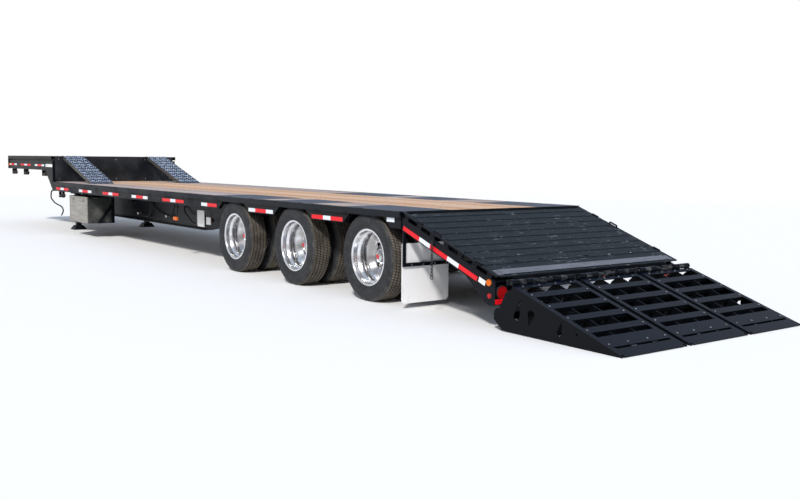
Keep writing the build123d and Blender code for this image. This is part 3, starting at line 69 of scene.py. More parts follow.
class Value:
    """A number that varies over a surface; Python's operators add the shader's maths to it."""

    def __init__(self, shading, socket):
        self.shading = shading
        self.socket = socket

    def maths(self, operation, first, second):
        return self.shading.node("Math", [first, second], operation=operation)

    def __add__(self, other):
        return self.maths("ADD", self, other)

    def __radd__(self, other):
        return self.maths("ADD", other, self)

    def __sub__(self, other):
        return self.maths("SUBTRACT", self, other)

    def __rsub__(self, other):
        return self.maths("SUBTRACT", other, self)

    def __mul__(self, other):
        return self.maths("MULTIPLY", self, other)

    def __rmul__(self, other):
        return self.maths("MULTIPLY", other, self)

    def __truediv__(self, other):
        return self.maths("DIVIDE", self, other)

    def __mod__(self, other):
        return self.maths("FLOORED_MODULO", self, other)

    def __pow__(self, other):
        return self.maths("POWER", self, other)

    def __lt__(self, other):
        return self.maths("LESS_THAN", self, other)

    def __gt__(self, other):
        return self.maths("GREATER_THAN", self, other)

    def whole(self):
        return self.maths("FLOOR", self, 0)

    def size(self):
        return self.maths("ABSOLUTE", self, 0)

    def sine(self):
        return self.maths("SINE", self, 0)

    def ramp(self, low, high):
        """0 below low and 1 above high, with a smooth rise between."""
        return self.shading.node("MapRange", {"Value": self, "From Min": low, "From Max": high},
                                interpolation_type="SMOOTHSTEP")


class Shading:
    """A tree of shader nodes; each node is made with its inputs linked or set."""

    def __init__(self, tree):
        self.tree = tree

    def node(self, kind, inputs, out=0, **settings):
        made = self.tree.nodes.new("ShaderNode" + kind)
        for setting, value in settings.items():
            setattr(made, setting, value)
        pairs = inputs.items() if isinstance(inputs, dict) else enumerate(inputs)
        for key, value in pairs:
            if isinstance(value, Value):
                self.tree.links.new(value.socket, made.inputs[key])
            else:
                made.inputs[key].default_value = value
        return Value(self, made.outputs[out])

    def blend(self, share, first, second):
        """One colour going over into another; a colour is three numbers or an earlier blend."""
        colours = [c if isinstance(c, Value) else (*c, 1) for c in (first, second)]
        return self.node("Mix", {0: share, 6: colours[0], 7: colours[1]}, out=2, data_type="RGBA")


class Finish(Shading):
    """The finish of one kind of surface: a material with its shader and its place on the trailer."""

    def __init__(self, name, **constants):
        self.material = bpy.data.materials.new(name)
        self.material.use_nodes = True
        super().__init__(self.material.node_tree)
        self.shader = self.tree.nodes["Principled BSDF"]
        for socket, value in constants.items():
            self.shader.inputs[socket.replace("_", " ")].default_value = value
        self.place = self.node("TexCoord", [], out="Object")

    def axes(self):
        """Place along, across and up, each as a number."""
        made = self.tree.nodes.new("ShaderNodeSeparateXYZ")
        self.tree.links.new(self.place.socket, made.inputs[0])
        return [Value(self, socket) for socket in made.outputs]

    def facing(self, axis):
        """How far the surface faces along (0), across (1) or up (2)."""
        return self.node("SeparateXYZ", [self.node("NewGeometry", [], out="Normal")], out=axis)

    def noise(self, scale, detail=4, rough=0.55, stretch=(1, 1, 1), place=None):
        """Mottling over the surface's own place, or over another one that is given."""
        spot = self.node("Mapping", {"Vector": place or self.place, "Scale": stretch})
        return self.node("TexNoise", {"Vector": spot, "Scale": scale, "Detail": detail, "Roughness": rough})

    def feed(self, socket, value):
        self.tree.links.new(value.socket, self.shader.inputs[socket])

    def colour(self, share, first, second):
        """Paints the surface with one colour going over into another."""
        self.feed("Base Color", self.blend(share, first, second))

    def bump(self, height, depth, strength=1.0):
        """Relief: height runs from 0 to 1 over a depth in metres."""
        made = self.node("Bump", {"Height": height, "Distance": depth, "Strength": strength}, out="Normal")
        self.feed("Normal", made)

    def wear(self, *node_names):
        """Puts the finish on pieces of the frame."""
        for node_name in node_names:
            for holder in nodes[node_name].material_slots:
                holder.material = self.material


bpy.ops.mesh.primitive_plane_add(size=260, location=(0, 0, 0))
floor = bpy.context.object
floor.name = "studio_floor"
pale = Finish("pale_floor", Base_Color=(0.93, 0.93, 0.93, 1), Roughness=0.9)
spread = pale.node("VectorMath", [pale.place], out="Value", operation="LENGTH").ramp(14, 30)
clear = pale.node("BsdfTransparent", [])
fade = pale.node("MixShader", [spread, Value(pale, pale.shader.outputs[0]), clear])
pale.tree.links.new(fade.socket, pale.tree.nodes["Material Output"].inputs["Surface"])
floor.data.materials.append(pale.material)

world = bpy.data.worlds.new("white_surround")
world.use_nodes = True
bpy.context.scene.world = world
surround = Shading(world.node_tree)
background = surround.tree.nodes["Background"]
background.inputs["Strength"].default_value = 0.62
bearing = surround.node("TexCoord", [], out="Generated")
climb = surround.node("SeparateXYZ", [bearing], out=2)
sky = surround.blend(climb.ramp(0.02, 0.55), (0.98, 0.97, 0.95), (0.66, 0.77, 0.95))
surround.tree.links.new(sky.socket, background.inputs["Color"])
backdrop = surround.node("Background", {"Color": (1, 1, 1, 1)})
seen = surround.node("LightPath", [], out="Is Camera Ray")
choose = surround.node("MixShader", [seen, Value(surround, background.outputs[0]), backdrop])
surround.tree.links.new(choose.socket, surround.tree.nodes["World Output"].inputs["Surface"])

# The welded frame: beams, cross members, gussets and brackets of structural steel in black paint. The
# paint is smooth and half glossy, a little dusty on what faces up and scuffed in patches.
black = Finish("black_paint", Specular_IOR_Level=0.12)
dust = black.noise(1.7, 6, 0.6).ramp(0.42, 0.75)
scuffs = black.noise(26, 5, 0.7, stretch=(0.35, 1, 1)).ramp(0.64, 0.78)
upward = black.facing(2).ramp(0.3, 0.95)
settled = dust * 0.16 + upward * 0.5 * dust + scuffs * 0.12
black.colour(settled, (0.0026, 0.0036, 0.0062), (0.024, 0.028, 0.036))
black.feed("Roughness", settled * 0.5 + 0.33)
black.bump(black.noise(220, 2, 0.5), 0.0004, 0.35)
subparts = frame["record"]["subparts"]
black.wear(*[part["node"] for part in subparts if part["material_slot"] == "black_paint"])

# Side rails: a rub bar along each edge of the lower deck, over a folded steel channel, both in black
# paint. The bar is a shade lighter, a painted sky reflection; a dark line of painted shadow runs under it,
# and dark slots of painted shade lie along its foot.
UNDER_BAR_SHADOW_LOW = 0.886
BAR_LOW = 0.9135
SLOT_TOP = 0.93
SLOT_LENGTH = 0.05
SLOT_SHIFT = 30.05
SLOT_PITCH = 0.61
rail = Finish("rail_paint", Specular_IOR_Level=0.14)
along, up = rail.axes()[::2]
grit = rail.noise(5, 6, 0.65, stretch=(0.5, 1, 1)).ramp(0.4, 0.8)
# Painted shadow: a near-black line under the rub bar, where the bar's shadow falls.
under_bar_shadow = (up > UNDER_BAR_SHADOW_LOW) * (up < BAR_LOW)
# Painted shade: dark slots at an even pitch along the bar's foot, where the openings would be shaded.
slot_shade = ((along + SLOT_SHIFT) % SLOT_PITCH < SLOT_LENGTH) * (up > BAR_LOW) * (up < SLOT_TOP)
# The bar is painted lighter and bluer than the channel, a painted sky reflection.
sky_sheen_bar_colour = rail.blend(up > BAR_LOW, (0.0034, 0.0046, 0.007), (0.0058, 0.008, 0.0124))
rail_colour = rail.blend(grit * 0.25, sky_sheen_bar_colour, (0.03, 0.034, 0.042))
rail.colour((under_bar_shadow + slot_shade).ramp(0, 1), rail_colour, (0.0008, 0.0008, 0.001))
rail.feed("Roughness", grit * 0.3 + 0.36)
rail.bump(rail.noise(200, 2, 0.5), 0.0004, 0.35)
rail.wear("side_rails", "side_channels")

# Bulkhead: a steel panel that closes the step between the decks, bolted in from behind. Its black paint
# is smeared with grey dirt.
panel = Finish("bulkhead_paint", Specular_IOR_Level=0.2)
smear = panel.noise(2.2, 6, 0.65).ramp(0.35, 0.75)
panel.colour(smear, (0.006, 0.008, 0.011), (0.032, 0.035, 0.042))
panel.feed("Roughness", smear * 0.3 + 0.34)
panel.wear("bulkhead")

# Axles, trailing arms and air tanks: forged and welded steel under the deck, in plain paint that road
# grit has dulled and browned.
chassis = Finish("chassis_paint", Specular_IOR_Level=0.35)
road = chassis.noise(7, 6, 0.65).ramp(0.35, 0.8)
chassis.colour(road, (0.012, 0.012, 0.013), (0.075, 0.066, 0.058))
chassis.feed("Roughness", road * 0.35 + 0.45)
chassis.bump(chassis.noise(90, 4, 0.6), 0.0008, 0.4)
chassis.wear("axles", "suspension_arms", "air_tanks")

# The floor: planks screwed to every cross member. The middle ones are tan hardwood, the outer ones and
# the upper deck's have greyed. Each plank has its own tone, with long grain, darker streaks and pale wear.
def planks_finish(name, first_y, pitch, light, dark, grey):
    wood = Finish(name, Specular_IOR_Level=0.3)
    along, across, up = wood.axes()
    plank = ((across - first_y) / pitch).whole()
    tone = wood.node("TexWhiteNoise", {"W": plank}, noise_dimensions="1D")
    shifted = wood.node("CombineXYZ", [along + plank * 3.7, across, up])
    grain = wood.noise(1.6, 8, 0.62, (0.9, 60, 60), shifted)
    streaks = wood.noise(1.3, 5, 0.6, (0.25, 9, 9), shifted)
    worn = wood.noise(1.1, 7, 0.6, stretch=(0.45, 1.6, 1)).ramp(0.48, 0.7)
    shade = (grain * 0.45 + tone * 0.42 + streaks * 0.35 - 0.16).ramp(0, 1)
    colour = wood.blend(shade, dark, light)
    wood.colour(worn * 0.55, colour, grey)
    wood.feed("Roughness", 0.62 + grain * 0.25)
    wood.bump(grain, 0.0022, 0.55)
    return wood


DECK_TOP = 0.978
UPPER_TOP = 1.482
CENTRE_HALF = 0.62
DECK_HALF = 1.2247
BOARD_GAP = 0.003
CENTRE_BOARDS = 6
OUTER_BOARDS = 4
UPPER_BOARDS = 14
outer_from = CENTRE_HALF + BOARD_GAP
centre_pitch = (2 * CENTRE_HALF + BOARD_GAP) / CENTRE_BOARDS
outer_pitch = (DECK_HALF - outer_from + BOARD_GAP) / OUTER_BOARDS
upper_pitch = (2 * DECK_HALF + BOARD_GAP) / UPPER_BOARDS
tan_wood = planks_finish("tan_hardwood", -CENTRE_HALF, centre_pitch, (0.8, 0.54, 0.36),
                         (0.46, 0.27, 0.165), (0.62, 0.5, 0.42))
grey_wood = planks_finish("greyed_hardwood", outer_from, outer_pitch, (0.58, 0.475, 0.44),
                          (0.27, 0.215, 0.205), (0.49, 0.445, 0.45))
upper_wood = planks_finish("upper_hardwood", -DECK_HALF, upper_pitch, (0.6, 0.45, 0.37),
                           (0.3, 0.21, 0.17), (0.48, 0.42, 0.4))
tan_wood.wear("centre_boards")
grey_wood.wear("outer_boards")
upper_wood.wear("upper_boards")

steel = Finish("bright_steel", Metallic=1.0)
steel.colour(steel.noise(30, 4, 0.6).ramp(0.4, 0.7), (0.5, 0.5, 0.51), (0.27, 0.25, 0.24))
steel.feed("Roughness", steel.noise(14, 4, 0.6) * 0.3 + 0.22)


def pick(*objects):
    """Selects these objects alone; the last one becomes active."""
    bpy.ops.object.select_all(action="DESELECT")
    for chosen in objects:
        chosen.select_set(True)
        bpy.context.view_layer.objects.active = chosen


def joined(*objects):
    """Makes one object of these."""
    pick(*objects)
    if len(objects) > 1:
        bpy.ops.object.join()
    return bpy.context.object


def copied(source, shift=(0, 0, 0), turn=None, about=(0, 0, 0)):
    """A copy with its own mesh, moved by shift, then turned by a matrix about a point."""
    pick(source)
    twin = source.copy()
    twin.data = source.data.copy()
    bpy.context.scene.collection.objects.link(twin)
    place = Matrix.Translation(shift) @ source.matrix_world
    if turn is not None:
        place = Matrix.Translation(about) @ turn @ Matrix.Translation(-Vector(about)) @ place
    twin.matrix_world = place
    return twin


def row(source, count, step):
    """The source repeated in a straight row by an array modifier."""
    pick(source)
    bpy.ops.object.transform_apply()
    array = source.modifiers.new("row", "ARRAY")
    array.use_relative_offset = False
    array.use_constant_offset = True
    array.constant_offset_displace = step
    array.count = count
    bpy.ops.object.modifier_apply(modifier="row")
    return source


def finished(name, objects, finish=None, body="chassis", stands_for=(), smooth=32):
    """Joins the objects into one named piece of a body, in the frame's own coordinates."""
    made = joined(*objects)
    bpy.ops.object.transform_apply()
    if smooth:
        bpy.ops.object.shade_smooth_by_angle(angle=radians(smooth))
    made.name = name
    made.data.name = name
    if finish is not None:
        made.data.materials.clear()
        made.data.materials.append(finish.material)
    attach(made, body)
    if stands_for:
        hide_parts(*stands_for)
    return made


def rounded(bevel, segments=1):
    """Bevels every edge of the active object."""
    bpy.ops.object.mode_set(mode="EDIT")
    bpy.ops.mesh.select_all(action="SELECT")
    bpy.ops.mesh.bevel(offset=bevel, segments=segments)
    bpy.ops.object.mode_set(mode="OBJECT")
    return bpy.context.object


def block(middle, size, turn=(0, 0, 0), bevel=0.0015, segments=2):
    """A plate or bar with rounded edges, turned about its middle."""
    bpy.ops.mesh.primitive_cube_add(size=1, location=middle, rotation=turn, scale=size)
    bpy.ops.object.transform_apply(location=False, rotation=False, scale=True)
    return rounded(bevel, segments)


def bar(x0, x1, y0, y1, z0, z1, bevel=0.0015, segments=2, tilt=0.0):
    """A block between two corners; tilt turns it nose down about its middle."""
    middle = ((x0 + x1) / 2, (y0 + y1) / 2, (z0 + z1) / 2)
    size = (abs(x1 - x0), abs(y1 - y0), abs(z1 - z0))
    return block(middle, size, (0, tilt, 0), bevel, segments)


def cylinder(sides, radius, depth, middle, turn):
    """A plain cylinder, to be shaped further."""
    bpy.ops.mesh.primitive_cylinder_add(vertices=sides, radius=radius, depth=depth, location=middle,
                                        rotation=turn)
    return bpy.context.object


def stud(place, facing=(0, 0, 1), radius=0.011, height=0.008, sides=6, crown=0.0016):
    """A bolt or screw head: a short prism whose rim is bevelled, standing on a surface."""
    facing = Vector(facing).normalized()
    middle = Vector(place) + facing * height * 0.45
    head = cylinder(sides, radius, height, middle, facing.to_track_quat("Z", "Y").to_euler())
    bpy.ops.object.mode_set(mode="EDIT")
    bpy.ops.mesh.select_mode(type="FACE")
    bpy.ops.mesh.select_all(action="DESELECT")
    shape = bmesh.from_edit_mesh(head.data)
    for face in shape.faces:
        face.select_set(face.normal.z > 0.9)
    bmesh.update_edit_mesh(head.data)
    bpy.ops.mesh.bevel(offset=crown, segments=1)
    bpy.ops.object.mode_set(mode="OBJECT")
    return head


CROSS_PITCH = 0.46
FIRST_CROSS = 5.4515
UPPER_CROSS_PITCH = 0.41
FIRST_UPPER_CROSS = 5.7515


def screwed(first, spread, planks, pitch, rows, step):
    """Two screws to a plank, repeated across the planks and then along the deck."""
    x, y, z = first
    pair = [stud((x, y + side * spread, z), radius=0.0075, height=0.003, sides=8) for side in (-1, 1)]
    across_deck = row(joined(*pair), planks, (0, pitch, 0))
    return row(across_deck, rows, (step, 0, 0))


centre_first = (FIRST_CROSS, -CENTRE_HALF + centre_pitch / 2, DECK_TOP)
screws = [screwed(centre_first, 0.062, CENTRE_BOARDS, centre_pitch, 25, -CROSS_PITCH)]
for first_y in (outer_from, -DECK_HALF):
    outer_first = (FIRST_CROSS, first_y + outer_pitch / 2, DECK_TOP)
    screws.append(screwed(outer_first, 0.044, OUTER_BOARDS, outer_pitch, 16, -CROSS_PITCH))
upper_first = (FIRST_UPPER_CROSS, -DECK_HALF + upper_pitch / 2, UPPER_TOP)
screws.append(screwed(upper_first, 0.05, UPPER_BOARDS, upper_pitch, 8, UPPER_CROSS_PITCH))
finished("deck_screws", screws, steel, smooth=0)

# Wheel covers: steel plates let into the floor over the wheels. The paint is nearly gone from them, with
# long drag marks, rust in patches and a painted blue grey sheen that stands for the sky's reflection.
cover = Finish("cover_steel", Specular_IOR_Level=0.25)
drag = cover.noise(9, 7, 0.65, stretch=(0.12, 1.6, 1))
rust = cover.noise(2.6, 8, 0.68).ramp(0.56, 0.8)
# Both colours carry a painted blue sky reflection; the drag marks between them are real.
drag_marks_and_sky_sheen = cover.blend(drag, (0.012, 0.022, 0.046), (0.052, 0.076, 0.135))
cover.colour(rust * 0.4, drag_marks_and_sky_sheen, (0.105, 0.07, 0.055))
cover.feed("Roughness", 0.34 + drag * 0.25 + rust * 0.2)
cover.bump(cover.noise(60, 5, 0.6), 0.0012, 0.5)
cover.wear("wheel_covers")

# Beavertail: a steel plate with cross cleats that slopes down behind the deck. Its dark paint is scraped
# and nicked to the metal and rubbed bare in a strip at the foot. A near-black band and a thin matt bar across
# its head are painted shade of the step down from the deck.
DECK_END = -5.9785
SLOPE = atan(0.5 / 1.4)
HEAD_SHADE_X = -6.045
END_STRIP_X = (-7.352, -7.262)


def tail_z(x, rise=0.0):
    """Height at x of the line parallel to the beavertail, rise measured square to it."""
    return DECK_TOP + (x - DECK_END) * tan(SLOPE) + rise / cos(SLOPE)


tail_steel = Finish("beavertail_steel", Specular_IOR_Level=0.14)
along = tail_steel.axes()[0]
cloud = tail_steel.noise(3.4, 7, 0.66)
scrapes = tail_steel.noise(60, 4, 0.6, stretch=(1.5, 0.12, 1)).ramp(0.61, 0.66) * cloud.ramp(0.46, 0.58)
nicks = tail_steel.noise(46, 3, 0.5).ramp(0.68, 0.72)
end_strip = (along < END_STRIP_X[1]) * (along > END_STRIP_X[0])
colour = tail_steel.blend(cloud, (0.004, 0.0068, 0.01), (0.02, 0.027, 0.036))
colour = tail_steel.blend((scrapes + nicks * 0.6).ramp(0, 1) * 0.85, colour, (0.27, 0.29, 0.32))
rubbed = tail_steel.blend(tail_steel.noise(20, 6, 0.7, stretch=(1, 0.3, 1)), (0.045, 0.05, 0.068),
                          (0.23, 0.24, 0.29))
colour = tail_steel.blend(end_strip, colour, rubbed)
# Painted shade: the head of the slope is painted near black.
tail_steel.colour(along > HEAD_SHADE_X, colour, (0.003, 0.004, 0.006))
tail_steel.feed("Roughness", 0.38 + cloud * 0.3)
tail_steel.bump(tail_steel.noise(50, 5, 0.6), 0.0012, 0.5)
tail_steel.wear("beavertail_deck")
# A thin matt black strip laid on the head of the slope, also painted shade of the step down from the deck.
head_shade_finish = Finish("painted_head_shade", Base_Color=(0.004, 0.005, 0.006, 1), Roughness=0.95, Specular_IOR_Level=0.05)
head_shade_bar = bar(-6.048, -5.986, -1.2145, 1.2145, 0.9638, 0.9668, 0.001, 1, -SLOPE)
finished("beavertail_painted_head_shade", [head_shade_bar], head_shade_finish)

# Reflecting tape along the side rails: thin red and white strips in turn, pressed onto the steel, with a
# fine net of cells in them. The tape glows faintly in its own colour, a painted shine of the light it sends
# back. A blank white plate sits at the rear of the upper deck's left rail.
def tape_finish(name, colour, edge):
    # The faint glow is painted light, standing for light the tape sends straight back; the tape is no lamp.
    tape = Finish(name, Roughness=0.4, Specular_IOR_Level=0.3, Emission_Color=(*colour, 1),
                  Emission_Strength=0.1)
    net = tape.node("TexVoronoi", {"Vector": tape.place, "Scale": 170}, out="Distance",
                    feature="DISTANCE_TO_EDGE")
    soil = tape.noise(12, 6, 0.65).ramp(0.5, 0.85)
    tape.colour(net.ramp(0.02, 0.16) * (1 - soil * 0.5), edge, colour)
    tape.bump(net, 0.0006, 0.3)
    return tape


red_tape = tape_finish("red_tape", (0.76, 0.005, 0.014), (0.55, 0.005, 0.01))
white_tape = tape_finish("white_tape", (0.7, 0.74, 0.8), (0.62, 0.63, 0.66))
RED = 0.28
WHITE = 0.18
RAIL_FACE = 1.277
UPPER_TAPE = 0.037
LOWER_TAPE = 0.046


def tape_pair(x0, x1, low, high, face, tilt=0.0):
    """One strip on each side of the trailer, with a narrow gap to the strips beside it."""
    return [bar(x0 + 0.001, x1 - 0.001, side * (face + 0.0001), side * (face + 0.0009), low, high,
                0.0002, 1, tilt) for side in (1, -1)]


# Front end, rear end and foot of each strip, the same on both sides, and the order of its colours
TAPES = [
    (8.762, 8.1205, 1.275, "WRW"),
    (7.8125, 7.0275, 1.275, "RWR"),
    (6.7305, 6.0665, 1.275, "WRW"),
    (5.3085, 4.5345, 0.832, "RWR"),
    (3.9175, 3.2285, 0.832, "WRW"),
    (2.6455, 1.8745, 0.832, "RWR"),
    (1.2805, 0.6055, 0.83, "WRW"),
    (0.0195, -0.7575, 0.828, "RWR"),
    (-1.3505, -1.8375, 0.822, "WR"),
    (-2.755, -3.3885, 0.815, "WRW"),
    (-4.2865, -4.9265, 0.815, "RWR"),
    (-5.74, -5.872, 0.864, "W"),
]
strips = {"R": [], "W": []}
for front, rear, low, order in TAPES:
    total = sum(RED if letter == "R" else WHITE for letter in order)
    high = low + (UPPER_TAPE if low > DECK_TOP else LOWER_TAPE)
    x = front
    for letter in order:
        length = (front - rear) * (RED if letter == "R" else WHITE) / total
        strips[letter] += tape_pair(x - length, x, low, high, RAIL_FACE)
        x -= length
finished("red_strips", strips["R"], red_tape, smooth=0)
finished("white_strips", strips["W"], white_tape, smooth=0)
blank = Finish("blank_plate", Base_Color=(0.78, 0.78, 0.76, 1), Roughness=0.42)
finished("blank_rail_plate", [bar(5.5215, 5.9705, 1.2771, 1.2785, 1.264, 1.322, 0.0005, 2)], blank)

# Tyres: two to a hub. The section is drawn as a line of points and spun; four grooves part the tread
# into ribs, and rings stand on the sidewalls. Rubber, dark on the walls; the tread's lighter brown is partly
# dust and partly painted sunlight.
AXLE_XS = (-2.3185, -3.8425, -5.3665)
AXLE_PITCH = 1.524
AXLE_Z = 0.465
JOINT_Y = 0.975
rubber = Finish("tyre_rubber", Specular_IOR_Level=0.35)
along, across, up = rubber.axes()
from_axle = (along - AXLE_XS[0] + AXLE_PITCH * 3.5) % AXLE_PITCH - AXLE_PITCH / 2
height = up - AXLE_Z
reach = (from_axle * from_axle + height * height) ** 0.5
around = rubber.node("Math", [height, from_axle], operation="ARCTAN2")
tread = reach.ramp(0.46, 0.4632)
grime = rubber.noise(6, 7, 0.66).ramp(0.3, 0.75)
side_dust = rubber.noise(18, 6, 0.7, stretch=(1, 0.3, 1)).ramp(0.45, 0.8)
wall = rubber.blend(side_dust * 0.5, (0.017, 0.0185, 0.021), (0.072, 0.07, 0.068))
shoulder = reach.ramp(0.425, 0.45) * rubber.noise(11, 6, 0.68).ramp(0.42, 0.72)
wall = rubber.blend(shoulder * 0.45, wall, (0.125, 0.12, 0.112))
# Dust browns the tread, and its light tone is partly painted sunlight.
dust_and_sunlit_tread = rubber.blend(grime, (0.058, 0.047, 0.037), (0.195, 0.165, 0.13))
rubber.feed("Roughness", 0.55 + grime * 0.25)
sipes = (around * 96 + across * 60).sine().ramp(-0.1, 0.6) * tread
dust_and_sunlit_tread = rubber.blend(sipes * 0.75, dust_and_sunlit_tread, (0.02, 0.017, 0.014))
rubber.colour(tread, wall, dust_and_sunlit_tread)
rings = (reach * 900).sine().ramp(0.2, 0.9) * (1 - tread) * reach.ramp(0.3, 0.33)
rubber.bump(1 - sipes * 0.8 + rings * 0.1 + side_dust * 0.1, 0.0035, 0.6)


def drawn(start, line):
    """Edges from start that take the steps between these points; it is left in edit mode."""
    bpy.ops.mesh.primitive_plane_add(size=0.002, location=start)
    bpy.ops.object.transform_apply()
    bpy.ops.object.mode_set(mode="EDIT")
    bpy.ops.mesh.select_mode(type="VERT")
    bpy.ops.mesh.select_all(action="SELECT")
    bpy.ops.mesh.merge(type="CENTER")
    for before, after in zip(line, line[1:]):
        bpy.ops.mesh.extrude_vertices_move(TRANSFORM_OT_translate={"value": after - before})
    return bpy.context.object


def lathe(points, centre, steps, axis=(0, 1, 0), outward=(0, 0, 1), closed=True):
    """A ring: a line of (radius, along the axis) points extruded one by one, then spun about the axis."""
    centre, axis, outward = Vector(centre), Vector(axis), Vector(outward)
    line = [axis * y + outward * r for r, y in points]
    if closed:
        line.append(line[0])
    made = drawn(centre + line[0], line)
    bpy.ops.mesh.select_all(action="SELECT")
    bpy.ops.mesh.spin(steps=steps, angle=2 * pi, center=centre, axis=axis)
    bpy.ops.mesh.select_all(action="SELECT")
    bpy.ops.mesh.remove_doubles(threshold=0.00002)
    bpy.ops.mesh.normals_make_consistent(inside=False)
    bpy.ops.object.mode_set(mode="OBJECT")
    return made


# Radius and distance from the tyre's middle, from the bead to the tread's edge
SIDEWALL = [(0.2863, 0.102), (0.295, 0.104), (0.303, 0.1052), (0.309, 0.109), (0.32, 0.113), (0.33, 0.1168),
            (0.3315, 0.119), (0.3385, 0.1205), (0.34, 0.1195), (0.355, 0.1233), (0.372, 0.1264),
            (0.388, 0.1275), (0.404, 0.1272), (0.418, 0.1255), (0.42, 0.1266), (0.427, 0.1256),
            (0.4285, 0.1232), (0.44, 0.119), (0.452, 0.112), (0.46, 0.105), (0.4642, 0.0975)]
GROOVES = (0.066, 0.0225)
half_section = list(SIDEWALL)
for groove in GROOVES:
    half_section += [(0.465, groove + 0.0075), (0.4635, groove + 0.0058), (0.453, groove + 0.004),
                     (0.452, groove), (0.453, groove - 0.004), (0.4635, groove - 0.0058),
                     (0.465, groove - 0.0075)]
section = half_section + [(r, -y) for r, y in reversed(half_section)]
TYRE_OUT = 0.1675
wheel_place = Vector((AXLE_XS[0], JOINT_Y, AXLE_Z))
outer_tyre = lathe(section, wheel_place + Vector((0, TYRE_OUT, 0)), 108)
inner_tyre = copied(outer_tyre, (0, -2 * TYRE_OUT, 0))
twin_tyres = joined(outer_tyre, inner_tyre)
half_turn = Matrix.Rotation(pi, 4, "Z")
ROWS = ("front", "middle", "rear")
spots = []
for name, x in zip(ROWS, AXLE_XS):
    for side_name, side in (("left", 1), ("right", -1)):
        spots.append((f"{name}_{side_name}", x, side))


def on_every_hub(name, source, finish, stands_for="", smooth=32):
    """Copies a piece modelled on the front left hub to all six, turned round on the right side."""
    for spot, x, side in spots:
        shift = (x - AXLE_XS[0], 0, 0)
        if side > 0:
            twin = copied(source, shift)
        else:
            twin = copied(source, shift, half_turn, (x, 0, 0))
        stands = (f"{stands_for}_{spot}",) if stands_for else ()
        finished(f"{name}_{spot}", [twin], finish, f"{spot}_wheels", stands, smooth)
    pick(source)
    bpy.ops.object.delete()


on_every_hub("dual_tyres", twin_tyres, rubber, "tyres")

# Wheels: polished aluminium discs bolted back to back. Rim and disc are spun, ten hand holes are cut
# through the discs, ten nuts hold them to the hub, and a red oil cap closes the hub's end.
alloy = Finish("polished_aluminium", Metallic=1.0)
smudge = alloy.noise(5, 6, 0.6)
deep = 1 - alloy.axes()[1].size().ramp(1.02, 1.23)
clean = alloy.blend(smudge.ramp(0.35, 0.8), (0.9, 0.91, 0.93), (0.66, 0.66, 0.68))
alloy.colour(deep * smudge.ramp(0.3, 0.6) * 0.75, clean, (0.24, 0.22, 0.21))
alloy.feed("Roughness", smudge * 0.2 + 0.1)
alloy.bump(alloy.noise(40, 3, 0.5), 0.0004, 0.12)
cap_red = Finish("oil_cap_red", Base_Color=(0.5, 0.016, 0.02, 1), Roughness=0.22, Coat_Weight=0.5)
iron = Finish("cast_iron", Metallic=0.35)
iron.colour(iron.noise(12, 6, 0.65).ramp(0.4, 0.7), (0.026, 0.023, 0.022), (0.135, 0.072, 0.045))
iron.feed("Roughness", iron.noise(30, 4, 0.6) * 0.3 + 0.5)
iron.bump(iron.noise(120, 4, 0.6), 0.0008, 0.5)


def round_hub(count, radius, out, first=0.0):
    """Places spaced evenly round the hub's axis, out from the plane where the two discs meet."""
    turns = [(turn + first) * 2 * pi / count for turn in range(count)]
    return [wheel_place + Vector((radius * cos(turn), out, radius * sin(turn))) for turn in turns]


# Radius and distance outward from the plane where the two discs meet
RIM = [(0.2985, 0.2785), (0.3012, 0.2776), (0.302, 0.2752), (0.301, 0.2728), (0.2985, 0.2716),
       (0.29, 0.2706), (0.2866, 0.268), (0.286, 0.264), (0.286, 0.218), (0.2846, 0.213), (0.265, 0.196),
       (0.262, 0.19), (0.262, 0.15), (0.265, 0.145), (0.2846, 0.129), (0.286, 0.124), (0.286, 0.071),
       (0.2866, 0.067), (0.29, 0.0644), (0.2985, 0.0634), (0.301, 0.0622), (0.302, 0.0598),
       (0.3012, 0.0574), (0.2985, 0.0565), (0.29, 0.0572), (0.282, 0.059), (0.2784, 0.063), (0.2775, 0.07),
       (0.2775, 0.122), (0.276, 0.1256), (0.257, 0.141), (0.254, 0.1465), (0.254, 0.1935), (0.257, 0.199),
       (0.276, 0.216), (0.2775, 0.22), (0.2775, 0.264), (0.2784, 0.2706), (0.282, 0.275), (0.29, 0.2776)]
DISC = [(0.064, 0.001), (0.196, 0.001), (0.206, 0.003), (0.213, 0.009), (0.26, 0.066), (0.272, 0.083),
        (0.2785, 0.096), (0.2785, 0.104), (0.274, 0.106), (0.264, 0.1), (0.252, 0.088), (0.214, 0.042),
        (0.204, 0.031), (0.194, 0.025), (0.184, 0.023), (0.1, 0.022), (0.092, 0.025), (0.086, 0.029),
        (0.064, 0.029)]
rim = lathe(RIM, wheel_place, 96)
disc = lathe(DISC, wheel_place, 96)
cutters = [cylinder(24, 0.027, 0.14, place, (pi / 2, 0, 0)) for place in round_hub(10, 0.178, 0.01)]
cutter = joined(*cutters)
pick(disc)
cut = disc.modifiers.new("hand_holes", "BOOLEAN")
cut.operation = "DIFFERENCE"
cut.object = cutter
cut.solver = "EXACT"
bpy.ops.object.modifier_apply(modifier="hand_holes")
edge = disc.modifiers.new("hole_edges", "BEVEL")
edge.width = 0.003
edge.segments = 2
edge.angle_limit = radians(60)
bpy.ops.object.modifier_apply(modifier="hole_edges")
pick(cutter)
bpy.ops.object.delete()
inner = [copied(piece, turn=half_turn, about=wheel_place) for piece in (rim, disc)]
on_every_hub("dual_wheels", joined(rim, disc, *inner), alloy, "wheel")

